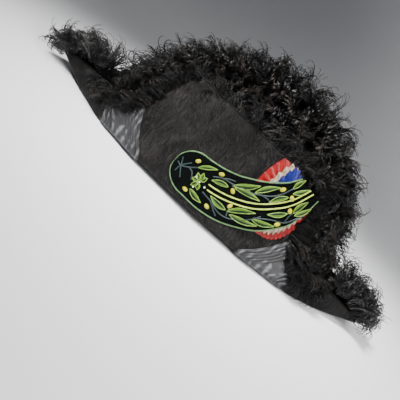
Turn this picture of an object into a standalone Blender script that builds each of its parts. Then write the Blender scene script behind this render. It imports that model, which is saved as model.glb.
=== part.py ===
# Bicorne dress hat with ostrich feather trim, pleated cockade and embroidered loop.
# Metres, +Z up. +X runs to the front horn, -Y is the side that carries the cockade.
# The hat stands on its own brim: the floor is z = 0 and the middle of the hat is x = y = 0.

import math
import random

import bmesh
import bpy
import numpy as np
from mathutils import Vector

# Felt body
BRIM_LENGTH = 0.476
OPENING_LENGTH = 0.200
OPENING_WIDTH = 0.160
FELT = 0.0028
FOLD_RADIUS = 0.006
SOLE_LEDGE = 0.0012
NEAR_FLAP_HEIGHT = 0.116
FAR_FLAP_HEIGHT = 0.165
CROWN_HEIGHT = 0.104
SOLE_ARCH = 0.006
TIP_RISE = 0.016
FLAP_LEAN = math.radians(15.0)
GAP = 0.0003

# Pleated ribbon bands at the roots of the horns
RIBBON_GAP = 0.0007
RIBBON_THICKNESS = 0.0009
RIBBON_PLEAT = 0.0006
RIBBON_OPENING_MARGIN = 0.0012
RIBBON_SOLE_START = 0.072
RIBBON_SOLE_END = 0.137
RIBBON_TOP_START = 0.1065
RIBBON_TOP_END = 0.147
RIBBON_BOW = 0.004
RIBBON_PANEL_START = 0.45
RIBBON_PANEL_END = 0.70

# Cockade of three pleated discs
COCKADE_X = 0.069
COCKADE_Z = 0.0825
COCKADE_WIDTH = 0.066
COCKADE_HEIGHT = 0.092
COCKADE_OVERHANG = 0.0015
COCKADE_LAYER = 0.0012
COCKADE_PLEAT = 0.0005
COCKADE_PLEATS = 22
WHITE_SHARE = 0.80
BLUE_SHARE = 0.72

# Embroidered loop band with its cords
LOOP_LENGTH = 0.1255
LOOP_RISE = 0.070
LOOP_WIDTH = 0.0515
LOOP_START_X = -0.0415
LOOP_START_Z = 0.037
LOOP_THICKNESS = 0.0018
LOOP_GAP = 0.0006
BORDER_CORD_RADIUS = 0.0010
CENTRE_CORD_RADIUS = 0.0009
CENTRE_CORD_SPACING = 0.0055

# Ostrich feather trim
CREST_CORE_RADIUS = 0.0038
CREST_GAP = 0.0007
CREST_LIFT = 0.7
CREST_SHARE = 0.69
NEAR_LOCK_LENGTH = 0.027
FAR_LOCK_LENGTH = 0.024
FAR_LOCK_SPILL = 0.4
NEAR_LOCK_SPACING = 0.0135
FAR_LOCK_SPACING = 0.0135
TUFT_LENGTH = 0.046
TUFT_TIP_GAP = 0.002
TUFT_CORE_RADIUS = 0.0055
TUFT_SEAT = 0.8
TUFT_LOCK_LENGTH = 0.025
SEED = 11

# How finely the faceted shapes are cut
BRIM_STATIONS = 28
FLAP_STEPS = 4
FOLD_STEPS = 4
SOLE_STEPS = 2
OPENING_SIDES = 36
CROWN_RINGS = 6
RIBBON_ROWS = 4
RIBBON_COLUMNS = 10
LOOP_COLUMNS = 6

HALF_LENGTH = BRIM_LENGTH / 2
TUFT_END = HALF_LENGTH - TUFT_TIP_GAP
TUFT_START = TUFT_END - TUFT_LENGTH
CREST_END = CREST_SHARE * HALF_LENGTH
HALF_WIDTH = OPENING_WIDTH / 2 + FELT + SOLE_LEDGE + FOLD_RADIUS

# The brim from the middle to a horn's tip. Each column is a share of a named size:
# along of half the length, width of half the width, near_top and far_top of the flap
# heights, arch of SOLE_ARCH, tip of TIP_RISE and lean of FLAP_LEAN.
BRIM_NAMES = ("along", "width", "near_top", "far_top", "arch", "tip", "lean")
BRIM_SECTIONS = (
    (0.000, 1.000, 1.000, 1.000, 1.00, 0.00, 0.53),
    (0.197, 0.956, 1.000, 0.960, 0.87, 0.00, 0.60),
    (0.290, 0.916, 1.000, 0.918, 0.78, 0.00, 0.68),
    (0.353, 0.876, 0.984, 0.876, 0.72, 0.00, 0.78),
    (0.391, 0.845, 0.828, 0.845, 0.68, 0.00, 0.88),
    (0.420, 0.820, 0.638, 0.808, 0.64, 0.00, 0.95),
    (0.445, 0.796, 0.465, 0.774, 0.60, 0.00, 1.00),
    (0.525, 0.722, 0.338, 0.632, 0.44, 0.00, 0.92),
    (0.588, 0.655, 0.296, 0.500, 0.32, 0.00, 0.78),
    (0.622, 0.600, 0.280, 0.425, 0.00, 0.00, 0.68),
    (0.693, 0.467, 0.264, 0.262, 0.00, 0.00, 0.55),
    (0.735, 0.393, 0.259, 0.226, 0.00, 0.00, 0.50),
    (0.798, 0.291, 0.245, 0.214, 0.00, 0.09, 0.46),
    (0.870, 0.189, 0.222, 0.205, 0.00, 0.31, 0.42),
    (0.945, 0.104, 0.197, 0.170, 0.00, 0.66, 0.40),
    (1.000, 0.058, 0.185, 0.142, 0.00, 1.00, 0.40),
)

# The loop's centre line from its rounded end to the flap's top edge, as shares of
# LOOP_LENGTH, LOOP_RISE and LOOP_WIDTH.
LOOP_NAMES = ("along", "rise", "width")
LOOP_SECTIONS = (
    (0.00, 0.000, 0.87),
    (0.20, 0.020, 0.87),
    (0.38, 0.046, 0.94),
    (0.55, 0.115, 0.99),
    (0.72, 0.270, 1.00),
    (0.86, 0.490, 0.90),
    (0.95, 0.720, 0.78),
    (1.00, 1.000, 0.60),
)

COLOURS = {
    "crown": (0.018, 0.016, 0.015),
    "brim": (0.030, 0.027, 0.026),
    "ribbon": (0.055, 0.056, 0.060),
    "feather": (0.020, 0.018, 0.017),
    "red": (0.62, 0.035, 0.025),
    "white": (0.80, 0.76, 0.66),
    "blue": (0.020, 0.045, 0.36),
    "loop": (0.010, 0.020, 0.028),
    "border": (0.13, 0.24, 0.14),
    "centre": (0.45, 0.52, 0.13),
}


def clear_scene():
    """Remove every object, so the script gives the same result in any file."""
    for item in list(bpy.data.objects):
        bpy.data.objects.remove(item, do_unlink=True)


def make_material(name, colour, roughness):
    """One plain Principled material."""
    material = bpy.data.materials.new(name)
    material.use_nodes = True
    shader = material.node_tree.nodes["Principled BSDF"]
    shader.inputs["Base Color"].default_value = (*colour, 1.0)
    shader.inputs["Roughness"].default_value = roughness
    shader.inputs["Metallic"].default_value = 0.0
    return material


def smooth_column(columns, rows, name):
    """A smooth curve through one column of a table, without overshoot between rows."""
    xs = np.array([row[0] for row in rows])
    ys = np.array([row[columns.index(name)] for row in rows])
    steps = np.diff(xs)
    slopes = np.diff(ys) / steps
    tangents = np.zeros(len(xs))
    tangents[-1] = slopes[-1]
    for i in range(1, len(xs) - 1):
        if slopes[i - 1] * slopes[i] > 0:
            tangents[i] = 2 * slopes[i - 1] * slopes[i] / (slopes[i - 1] + slopes[i])

    def value(share):
        share = min(max(share, xs[0]), xs[-1])
        i = min(int(np.searchsorted(xs, share, side="right")) - 1, len(steps) - 1)
        t = (share - xs[i]) / steps[i]
        start = (1 + 2 * t) * (1 - t) ** 2 * ys[i] + t * (1 - t) ** 2 * steps[i] * tangents[i]
        end = t * t * (3 - 2 * t) * ys[i + 1] + t * t * (t - 1) * steps[i] * tangents[i + 1]
        return start + end

    return value


BRIM_CURVES = {name: smooth_column(BRIM_NAMES, BRIM_SECTIONS, name) for name in BRIM_NAMES}
LOOP_CURVES = {name: smooth_column(LOOP_NAMES, LOOP_SECTIONS, name) for name in LOOP_NAMES}


def brim_share(x, name):
    """A column of the brim table at x, the same for both horns."""
    return BRIM_CURVES[name](abs(x) / HALF_LENGTH)


def half_width(x):
    return HALF_WIDTH * brim_share(x, "width")


def sole_height(x):
    return SOLE_ARCH * brim_share(x, "arch") + TIP_RISE * brim_share(x, "tip")


def lean(x):
    return FLAP_LEAN * brim_share(x, "lean")


def flap_top(side, x):
    """Height of a flap's edge: side is -1 on the cockade side and +1 on the far side."""
    if side < 0:
        return NEAR_FLAP_HEIGHT * brim_share(x, "near_top")
    return FAR_FLAP_HEIGHT * brim_share(x, "far_top")


def fold_radius(x, inset=0.0):
    """Radius of the fold between sole and flap, smaller where the horn grows narrow."""
    height = min(flap_top(-1, x), flap_top(1, x)) - sole_height(x) - inset
    return min(FOLD_RADIUS - inset, 0.45 * height, 0.9 * (half_width(x) - inset))


def flap_reach(x, z, inset=0.0):
    """Distance of a flap's face from the middle plane at a height."""
    base = sole_height(x) + inset + fold_radius(x, inset)
    return half_width(x) - inset - max(z - base, 0.0) * math.tan(lean(x))


def flap_normal(side, x, z):
    """Direction that points out of a flap."""
    step = 0.001
    slope_x = (flap_reach(x + step, z) - flap_reach(x - step, z)) / (2 * step)
    slope_z = (flap_reach(x, z + step) - flap_reach(x, z - step)) / (2 * step)
    return Vector((-slope_x, side, -slope_z)).normalized()


def flap_point(side, x, z, lift):
    """A point on a flap's outer face, lifted off it along its normal."""
    return Vector((x, side * flap_reach(x, z), z)) + flap_normal(side, x, z) * lift


def link_mesh(name, bm, material, crease_angle=35.0):
    """Turn a bmesh into a named object with its faces out and smooth shading."""
    bmesh.ops.recalc_face_normals(bm, faces=bm.faces)
    if bm.calc_volume(signed=True) < 0:
        bmesh.ops.reverse_faces(bm, faces=bm.faces)
    mesh = bpy.data.meshes.new(name)
    bm.to_mesh(mesh)
    bm.free()
    mesh.shade_smooth()
    mesh.set_sharp_from_angle(angle=math.radians(crease_angle))
    mesh.materials.append(material)
    item = bpy.data.objects.new(name, mesh)
    bpy.context.collection.objects.link(item)
    return item


def bridge_rows(bm, rows, closed_rows):
    """Fill the quads between neighbouring rows of vertices."""
    faces = []
    for first, second in zip(rows, rows[1:]):
        count = len(first)
        last = count if closed_rows else count - 1
        for i in range(last):
            j = (i + 1) % count
            faces.append(bm.faces.new((first[i], first[j], second[j], second[i])))
    return faces


def sheet_solid(name, outer_grid, inner_grid, material):
    """A closed sheet between two grids of points of the same size."""
    bm = bmesh.new()
    outer = [[bm.verts.new(point) for point in row] for row in outer_grid]
    inner = [[bm.verts.new(point) for point in row] for row in inner_grid]
    bridge_rows(bm, outer, False)
    bridge_rows(bm, inner, False)
    bridge_rows(bm, [outer[0], inner[0]], False)
    bridge_rows(bm, [outer[-1], inner[-1]], False)
    bridge_rows(bm, [[row[0] for row in outer], [row[0] for row in inner]], False)
    bridge_rows(bm, [[row[-1] for row in outer], [row[-1] for row in inner]], False)
    return link_mesh(name, bm, material)


def brim_section(x, inset):
    """The U of the brim at x, from the near edge down, under and up to the far edge."""
    sole = sole_height(x) + inset
    radius = fold_radius(x, inset)
    width = half_width(x) - inset
    half = []
    for side in (-1, 1):
        points = []
        top = flap_top(side, x)
        for i in range(FLAP_STEPS):
            z = top + (sole + radius - top) * i / FLAP_STEPS
            points.append(Vector((x, side * flap_reach(x, z, inset), z)))
        for i in range(FOLD_STEPS + 1):
            turn = math.pi / 2 * i / FOLD_STEPS
            y = width - radius + radius * math.cos(turn)
            points.append(Vector((x, side * y, sole + radius - radius * math.sin(turn))))
        half.append(points)
    middle = []
    for i in range(1, SOLE_STEPS):
        share = i / SOLE_STEPS
        middle.append(half[0][-1].lerp(half[1][-1], share))
    return half[0] + middle + half[1][::-1]


def brim_stations():
    """Places of the brim's sections: closer together where the flaps' edges drop."""
    xs = []
    for i in range(BRIM_STATIONS + 1):
        share = -1 + 2 * i / BRIM_STATIONS
        xs.append(HALF_LENGTH * share)
    for row in BRIM_SECTIONS[3:12]:
        xs += [row[0] * HALF_LENGTH, -row[0] * HALF_LENGTH]
    xs.sort()
    spacing = BRIM_LENGTH / BRIM_STATIONS / 4
    kept = [xs[0]]
    for x in xs[1:]:
        if x - kept[-1] > spacing:
            kept.append(x)
    kept[-1] = HALF_LENGTH
    return kept


def make_brim(material):
    """The folded felt brim, with the oval head opening cut through its sole."""
    stations = brim_stations()
    outer = [brim_section(x, 0.0) for x in stations]
    inner = [brim_section(x, FELT) for x in stations]
    brim = sheet_solid("brim", outer, inner, material)
    cut_opening(brim, 0.0)


def cut_opening(item, margin):
    """Cut the oval head opening out of a piece that crosses it, with a margin round it."""
    bm = bmesh.new()
    depth = SOLE_ARCH + FELT + 2 * FOLD_RADIUS
    bmesh.ops.create_cone(
        bm, cap_ends=True, segments=OPENING_SIDES, radius1=0.5, radius2=0.5, depth=2 * depth
    )
    size = (OPENING_LENGTH + 2 * margin, OPENING_WIDTH + 2 * margin, 1.0)
    bmesh.ops.scale(bm, vec=size, verts=bm.verts)
    cutter = link_mesh(item.name + "_cutter", bm, item.data.materials[0])
    cutter.hide_render = True
    cutter.display_type = "WIRE"
    cut = item.modifiers.new("head_opening", "BOOLEAN")
    cut.operation = "DIFFERENCE"
    cut.object = cutter


def dome_ring(height_share, inset):
    """One oval ring of the crown, which tapers like the flaps and rounds over at the top."""
    ring = []
    rise = (CROWN_HEIGHT - inset) * height_share
    rounding = (1 - height_share ** 4) ** 0.45
    taper = rise * math.tan(lean(0.0))
    half_x = (OPENING_LENGTH / 2 + FELT - inset - taper) * rounding
    half_y = (OPENING_WIDTH / 2 + FELT - inset - taper) * rounding
    for i in range(OPENING_SIDES):
        turn = 2 * math.pi * i / OPENING_SIDES
        x = half_x * math.cos(turn)
        y = half_y * math.sin(turn)
        arch = sole_height(x) * (1 - height_share) + sole_height(0.0) * height_share
        ring.append(Vector((x, y, arch + FELT + GAP + rise)))
    return ring


def make_crown(material):
    """The hollow crown: a shell that stands on the brim's sole round the opening."""
    shares = [math.sin(math.pi / 2 * i / CROWN_RINGS) for i in range(CROWN_RINGS)]
    bm = bmesh.new()
    walls = []
    for inset in (0.0, FELT):
        rings = [[bm.verts.new(point) for point in dome_ring(share, inset)] for share in shares]
        bridge_rows(bm, rings, True)
        top = sole_height(0.0) + FELT + GAP + CROWN_HEIGHT - inset
        pole = bm.verts.new((0.0, 0.0, top))
        last = rings[-1]
        for i in range(OPENING_SIDES):
            bm.faces.new((last[i], last[(i + 1) % OPENING_SIDES], pole))
        walls.append(rings)
    bridge_rows(bm, [walls[0][0], walls[1][0]], True)
    return link_mesh("crown", bm, material)


def ribbon_pleat(share):
    """Height of the ribbon's pleats: two groups of ridges with a smooth panel between."""
    column = round(share * RIBBON_COLUMNS)
    near_inner_edge = 0 < column < RIBBON_PANEL_START * RIBBON_COLUMNS
    near_outer_edge = RIBBON_PANEL_END * RIBBON_COLUMNS < column < RIBBON_COLUMNS
    if (near_inner_edge or near_outer_edge) and column % 2 == 1:
        return RIBBON_PLEAT
    return 0.0


def ribbon_rows(end, side, top_lift):
    """The ribbon's rows of points on one flap, from its top edge to the middle of the sole."""
    rows = []
    paths = [("flap", 1 - i / RIBBON_ROWS) for i in range(RIBBON_ROWS)]
    paths += [("fold", i / FOLD_STEPS) for i in range(FOLD_STEPS + 1)]
    paths += [("sole", 0.5), ("sole", 1.0)]
    for part, t in paths:
        row = []
        for column in range(RIBBON_COLUMNS + 1):
            share = column / RIBBON_COLUMNS
            low = RIBBON_SOLE_START + (RIBBON_SOLE_END - RIBBON_SOLE_START) * share
            high = RIBBON_TOP_START + (RIBBON_TOP_END - RIBBON_TOP_START) * share
            climb = t if part == "flap" else 0.0
            bow = RIBBON_BOW * math.sin(math.pi * climb) * (1 - share)
            x = end * (low + (high - low) * climb + bow)
            lift = RIBBON_GAP
            if top_lift:
                lift += RIBBON_THICKNESS
                if part == "flap":
                    lift += ribbon_pleat(share) * min(1.0, 2 * t)
            sole = sole_height(x)
            radius = fold_radius(x)
            flat = half_width(x) - radius
            if part == "flap":
                z = sole + radius + (flap_top(side, end * high) - 2 * GAP - sole - radius) * t
                row.append(flap_point(side, x, z, lift))
            elif part == "fold":
                turn = math.pi / 2 * t
                y = flat + (radius + lift) * math.cos(turn)
                row.append(Vector((x, side * y, sole + radius - (radius + lift) * math.sin(turn))))
            else:
                row.append(Vector((x, side * flat * (1 - t), sole - lift)))
        rows.append(row)
    return rows


def make_ribbon(name, end, material):
    """A pleated ribbon that wraps one horn's root: up both flaps and under the sole."""
    grids = []
    for top_lift in (True, False):
        near = ribbon_rows(end, -1, top_lift)
        far = ribbon_rows(end, 1, top_lift)
        grids.append(near + far[-2::-1])
    ribbon = sheet_solid(name, grids[0], grids[1], material)
    cut_opening(ribbon, RIBBON_OPENING_MARGIN)


def cockade_point(share, turn, lift):
    """A point of the cockade on the near flap, tucked in at the flap's top edge."""
    across = COCKADE_WIDTH / 2 * share * math.cos(turn)
    up = COCKADE_HEIGHT / 2 * share * math.sin(turn)
    room = NEAR_FLAP_HEIGHT + COCKADE_OVERHANG - COCKADE_Z
    if up > room * share:
        across *= room * share / up
        up = room * share
    return flap_point(-1, COCKADE_X + across, COCKADE_Z + up, lift)


def make_cockade_disc(name, shares, base_lift, material):
    """One pleated disc of the cockade: a thin closed disc that is rippled at its rim."""
    bm = bmesh.new()
    count = 2 * COCKADE_PLEATS
    sides = []
    for lift in (base_lift, base_lift + COCKADE_LAYER):
        rings = []
        for share in shares:
            ring = []
            for i in range(count):
                ripple = COCKADE_PLEAT * (i % 2) * share / shares[-1]
                turn = 2 * math.pi * i / count
                ring.append(bm.verts.new(cockade_point(share, turn, lift + ripple)))
            rings.append(ring)
        bridge_rows(bm, rings, True)
        pole = bm.verts.new(cockade_point(0.0, 0.0, lift))
        for i in range(count):
            bm.faces.new((rings[0][i], rings[0][(i + 1) % count], pole))
        sides.append(rings)
    bridge_rows(bm, [sides[0][-1], sides[1][-1]], True)
    return link_mesh(name, bm, material, crease_angle=15.0)


def cockade_layer_lift(layer):
    """Height of a layer's underside above the flap."""
    return LOOP_GAP + layer * (COCKADE_LAYER + COCKADE_PLEAT + GAP)


def cover_lift(x, z):
    """Height of the loop's underside: on the flap, then smoothly up over the cockade."""
    across = (x - COCKADE_X) / (COCKADE_WIDTH / 2)
    up = (z - COCKADE_Z) / (COCKADE_HEIGHT / 2)
    distance = math.hypot(across, up)
    t = min(max((1.38 - distance) / (1.38 - 0.84), 0.0), 1.0)
    return LOOP_GAP + cockade_layer_lift(3) * t * t * (3 - 2 * t)


def loop_frame(share):
    """Centre, sideways direction and half width of the loop at a share of its length."""
    step = 0.01
    points = []
    for at in (share - step, share + step):
        at = min(max(at, 0.0), 1.0)
        x = LOOP_START_X + LOOP_LENGTH * LOOP_CURVES["along"](at)
        points.append(Vector((x, LOOP_START_Z + LOOP_RISE * LOOP_CURVES["rise"](at))))
    ahead = (points[1] - points[0]).normalized()
    centre = (points[0] + points[1]) / 2
    reach = LOOP_WIDTH / 2
    run = share * LOOP_LENGTH
    width = reach * LOOP_CURVES["width"](share)
    if run < reach:
        width *= math.sqrt(1 - ((reach - run) / reach) ** 2)
    return centre, Vector((-ahead.y, ahead.x)), width


def loop_shares():
    """Places of the loop's rows: close together round its blunt end."""
    reach = LOOP_WIDTH / 2 / LOOP_LENGTH
    shares = [reach * (1 - math.cos(math.radians(turn))) for turn in (18, 36, 54, 72, 90)]
    rest = 11
    shares += [reach + (1 - reach) * i / rest for i in range(1, rest + 1)]
    return shares


def loop_point(share, across, lift):
    """A point on the loop: across runs from -1 at its lower edge to 1 at its upper edge."""
    centre, sideways, width = loop_frame(share)
    flat = centre + sideways * (across * width)
    return flap_point(-1, flat.x, flat.y, cover_lift(flat.x, flat.y) + lift)


def make_loop_band(material):
    """The dark band that rises from the flap over the cockade."""
    grids = []
    for lift in (LOOP_THICKNESS, 0.0):
        grid = []
        for share in loop_shares():
            row = [loop_point(share, -1 + 2 * i / LOOP_COLUMNS, lift) for i in range(LOOP_COLUMNS + 1)]
            grid.append(row)
        grids.append(grid)
    return sheet_solid("loop_band", grids[0], grids[1], material)


def tube(name, path, radius, sides, material):
    """A closed round tube along a path of points."""
    bm = bmesh.new()
    rings = []
    for i, point in enumerate(path):
        ahead = (path[min(i + 1, len(path) - 1)] - path[max(i - 1, 0)]).normalized()
        side = ahead.cross(Vector((0.0, -1.0, 0.0))).normalized()
        out = side.cross(ahead).normalized()
        ring = []
        for j in range(sides):
            turn = 2 * math.pi * j / sides
            ring.append(bm.verts.new(point + (side * math.cos(turn) + out * math.sin(turn)) * radius))
        rings.append(ring)
    bridge_rows(bm, rings, True)
    bm.faces.new(rings[0])
    bm.faces.new(rings[-1])
    return link_mesh(name, bm, material, crease_angle=80.0)


def loop_outline():
    """Points round the loop's edge, from one end of its open top round the blunt end."""
    lower = []
    upper = []
    for share in loop_shares():
        centre, sideways, width = loop_frame(share)
        lower.append(centre - sideways * width)
        upper.append(centre + sideways * width)
    tip = Vector((LOOP_START_X, LOOP_START_Z))
    return lower[::-1] + [tip] + upper


def make_loop_cords(border_material, centre_material):
    """The piping round the loop's edge and the two cords along its middle."""
    outline = loop_outline()
    away = BORDER_CORD_RADIUS + 2 * GAP
    path = []
    for i, point in enumerate(outline):
        run = outline[min(i + 1, len(outline) - 1)] - outline[max(i - 1, 0)]
        outward = Vector((run.y, -run.x)).normalized() * -away
        flat = point + outward
        path.append(flap_point(-1, flat.x, flat.y, cover_lift(flat.x, flat.y) + BORDER_CORD_RADIUS))
    tube("loop_border_cord", path, BORDER_CORD_RADIUS, 5, border_material)

    height = LOOP_THICKNESS + GAP + CENTRE_CORD_RADIUS
    for name, side in (("loop_centre_cord_lower", -1), ("loop_centre_cord_upper", 1)):
        path = []
        for share in loop_shares():
            run = share * LOOP_LENGTH
            if run < LOOP_WIDTH * 0.8:
                continue
            width = loop_frame(share)[2]
            spacing = CENTRE_CORD_SPACING / 2 / width
            path.append(loop_point(share, side * spacing, height))
        tube(name, path, CENTRE_CORD_RADIUS, 5, centre_material)


def core_rings(bm, path, sides, radii):
    """Rings of vertices round a path: the faces 0, 1 and 2 of each ring look up."""
    rings = []
    for i, point in enumerate(path):
        ahead = (path[min(i + 1, len(path) - 1)] - path[max(i - 1, 0)]).normalized()
        side = Vector((0.0, 1.0, 0.0))
        side = (side - ahead * side.dot(ahead)).normalized()
        up = ahead.cross(side).normalized()
        up *= math.copysign(1.0, up.z)
        ring = []
        for j in range(sides):
            turn = math.pi / 2 + 2 * math.pi * (j - 1.5) / sides
            ring.append(bm.verts.new(point + (side * math.cos(turn) + up * math.sin(turn)) * radii[i]))
        rings.append(ring)
    return rings


def grow_lock(bm, face, heading, bend, length):
    """Pull a face out into one curling, tapering lock of three steps."""
    tapers = (1.15, 0.85, 0.35)
    for step, taper in enumerate(tapers):
        grown = bmesh.ops.extrude_discrete_faces(bm, faces=[face])["faces"][0]
        heading = (heading + bend * (step / len(tapers))).normalized()
        middle = grown.calc_center_median()
        for vertex in grown.verts:
            vertex.co = middle + (vertex.co - middle) * taper + heading * length / len(tapers)
        face = grown


def make_feathers(name, path, radii, sides, lock_faces, lock_shape, material):
    """A feather trim: a core along a path, with locks grown from chosen faces."""
    bm = bmesh.new()
    rings = core_rings(bm, path, sides, radii)
    faces = bridge_rows(bm, rings, True)
    bm.faces.new(rings[0])
    bm.faces.new(rings[-1])
    bmesh.ops.recalc_face_normals(bm, faces=bm.faces)
    chosen = []
    for i in range(len(path) - 1):
        for j in lock_faces(i):
            chosen.append((faces[i * sides + j], i, j))
    for face, i, j in chosen:
        point = (path[i] + path[i + 1]) / 2
        heading, bend, length = lock_shape(face.normal.copy(), point)
        grow_lock(bm, face, heading, bend, length)
    return link_mesh(name, bm, material, crease_angle=60.0)


def even_stations(side, spacing):
    """Values of x that lie evenly spaced along a flap's edge."""
    samples = np.linspace(-CREST_END, CREST_END, 241)
    heights = np.array([flap_top(side, x) for x in samples])
    lengths = np.concatenate(([0.0], np.cumsum(np.hypot(np.diff(samples), np.diff(heights)))))
    count = round(lengths[-1] / spacing)
    return [float(x) for x in np.interp(np.linspace(0.0, lengths[-1], count + 1), lengths, samples)]


def crest_path(side, spacing):
    """Places of a crest's core: inside the flap's edge and a little above it."""
    path = []
    for x in even_stations(side, spacing):
        step = 0.002
        run = Vector((2 * step, 0.0, flap_top(side, x + step) - flap_top(side, x - step))).normalized()
        normal = flap_normal(side, x, flap_top(side, x))
        outward = Vector((-run.z, 0.0, run.x))
        outward = (outward - normal * outward.dot(normal)).normalized()
        edge = Vector((x, side * flap_reach(x, flap_top(side, x), FELT), flap_top(side, x)))
        inside = normal * -(CREST_CORE_RADIUS + CREST_GAP)
        path.append(edge + inside + outward * CREST_CORE_RADIUS * CREST_LIFT)
    return path


def make_crest(name, side, lock_length, spill, spacing, material, chance):
    """The feather trim inside a flap's edge, which stands up from the edge like a fan.

    spill is how far the outer locks lean out over the edge: 0 keeps them all inside.
    """
    path = crest_path(side, spacing)
    fan_centre = Vector((0.0, 0.0, 0.3 * flap_top(side, 0.0)))

    def lock_faces(i):
        return (1,) if i % 2 else (0, 2)

    def lock_shape(normal, point):
        out = flap_normal(side, point.x, point.z)
        fan = point - fan_centre
        fan = (fan - out * fan.dot(out)).normalized()
        facing = normal.dot(out)
        sway = facing * spill if facing > 0 else facing * 0.5
        ends = max(0.0, abs(point.x) / CREST_END - 0.8) * 5
        fan.x *= 1 - 0.7 * ends
        jitter = Vector((chance.uniform(-0.2, 0.2), 0.0, chance.uniform(0.0, 0.2)))
        heading = fan + jitter + out * (sway - 0.08)
        bend = out * (sway - 0.15) + Vector((chance.uniform(-0.6, 0.6), 0.0, -0.5 * chance.random()))
        length = lock_length * chance.uniform(0.85, 1.1) * (1 - 0.35 * ends)
        return heading.normalized(), bend, length

    radii = [CREST_CORE_RADIUS] * len(path)
    return make_feathers(name, path, radii, 6, lock_faces, lock_shape, material)


def make_tuft(name, end, material, chance):
    """The spray of feathers at a horn's tip, on a core that lies along the tip's edges."""
    count = 9
    path = []
    radii = []
    for i in range(count + 1):
        share = i / count
        x = TUFT_START + (TUFT_END - TUFT_START) * share
        radius = TUFT_CORE_RADIUS * (1 - 0.35 * share)
        edge = max(flap_top(-1, x), flap_top(1, x))
        path.append(Vector((end * x, 0.0, edge + TUFT_SEAT * radius + GAP)))
        radii.append(radius)
    sides = 8

    def lock_faces(i):
        return (0, 2) if i % 2 else (1,)

    def lock_shape(normal, point):
        share = (abs(point.x) - TUFT_START) / (TUFT_END - TUFT_START)
        heading = normal + Vector((end * (1.3 * share - 0.3), 0.0, 0.35))
        heading.x += chance.uniform(-0.15, 0.15)
        heading.y *= 0.75
        bend = Vector((end * (share - 0.3), 0.0, chance.uniform(-0.5, 0.0)))
        return heading.normalized(), bend, TUFT_LOCK_LENGTH * chance.uniform(0.85, 1.1)

    return make_feathers(name, path, radii, sides, lock_faces, lock_shape, material)


def main():
    clear_scene()
    felt = make_material("plush_felt", COLOURS["brim"], 0.85)
    crown_felt = make_material("crown_felt", COLOURS["crown"], 0.9)
    ribbon = make_material("moire_ribbon", COLOURS["ribbon"], 0.35)
    feather = make_material("ostrich_feather", COLOURS["feather"], 0.7)
    red = make_material("cockade_red", COLOURS["red"], 0.5)
    white = make_material("cockade_white", COLOURS["white"], 0.5)
    blue = make_material("cockade_blue", COLOURS["blue"], 0.5)
    velvet = make_material("loop_velvet", COLOURS["loop"], 0.9)
    border = make_material("border_cord", COLOURS["border"], 0.6)
    centre = make_material("centre_cord", COLOURS["centre"], 0.6)

    make_brim(felt)
    make_crown(crown_felt)
    make_ribbon("fore_ribbon", 1, ribbon)
    make_ribbon("aft_ribbon", -1, ribbon)
    make_cockade_disc("cockade_red", (0.40, 0.70, 1.0), cockade_layer_lift(0), red)
    make_cockade_disc("cockade_white", (0.45, WHITE_SHARE), cockade_layer_lift(1), white)
    make_cockade_disc("cockade_blue", (0.40, BLUE_SHARE), cockade_layer_lift(2), blue)
    make_loop_band(velvet)
    make_loop_cords(border, centre)

    chance = random.Random(SEED)
    make_crest("near_crest", -1, NEAR_LOCK_LENGTH, 0.0, NEAR_LOCK_SPACING, feather, chance)
    make_crest("far_crest", 1, FAR_LOCK_LENGTH, FAR_LOCK_SPILL, FAR_LOCK_SPACING, feather, chance)
    make_tuft("fore_tuft", 1, feather, chance)
    make_tuft("aft_tuft", -1, feather, chance)


main()
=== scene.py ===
# %% [markdown]
# # A feathered bicorne
# A bicorne is a felt hat whose wide round brim is turned up into two tall flaps, so that it
# ends in a horn at the front and one at the back. This one has a long-napped near flap,
# watered silk ribbons round the roots of the horns, a pleated cockade under an embroidered
# velvet loop, and curled ostrich feather along both flaps' edges and at the tips.
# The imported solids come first. Everything below is shaped around them, in the same metres.

# %% Load the solids
import math

import bpy
import numpy as np
from mathutils import Matrix, Vector


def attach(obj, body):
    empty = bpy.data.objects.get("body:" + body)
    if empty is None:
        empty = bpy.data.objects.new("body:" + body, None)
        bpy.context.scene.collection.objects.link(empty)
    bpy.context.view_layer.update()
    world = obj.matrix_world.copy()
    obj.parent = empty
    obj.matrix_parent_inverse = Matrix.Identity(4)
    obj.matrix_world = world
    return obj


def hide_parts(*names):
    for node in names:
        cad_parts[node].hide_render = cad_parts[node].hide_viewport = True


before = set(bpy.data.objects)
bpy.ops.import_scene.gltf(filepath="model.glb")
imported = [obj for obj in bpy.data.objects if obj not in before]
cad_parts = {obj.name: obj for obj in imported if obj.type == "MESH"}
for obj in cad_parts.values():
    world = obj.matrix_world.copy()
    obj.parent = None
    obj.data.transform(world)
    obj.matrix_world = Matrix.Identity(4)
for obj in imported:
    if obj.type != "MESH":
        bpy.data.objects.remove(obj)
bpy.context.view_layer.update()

print("solids:", sorted(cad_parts))


# %% [markdown]
# ## Camera
# The hat in the photograph leans over. It could be tilted under a level camera, but then it
# wouldn't stand on its brim, so the hat stays upright and the camera is rolled. It is placed
# by its turn round the hat, its rise and its distance, and a matrix sets all of that at once.

# %% Add the camera
CAMERA_TURN = math.radians(1.80)
CAMERA_RISE = math.radians(18.0)
CAMERA_ROLL = math.radians(42.62)
CAMERA_DISTANCE = 0.6856
CAMERA_AIM = Vector((0.0043, 0.0, -0.0048))
CAMERA_LENS = 50.67
SENSOR_WIDTH = 36.0


def start_piece(name, primitive, **settings):
    """Deselect everything, add an object with an operator, and name it."""
    bpy.ops.object.select_all(action="DESELECT")
    primitive(**settings)
    piece = bpy.context.object
    piece.name = piece.data.name = name
    return piece


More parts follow.
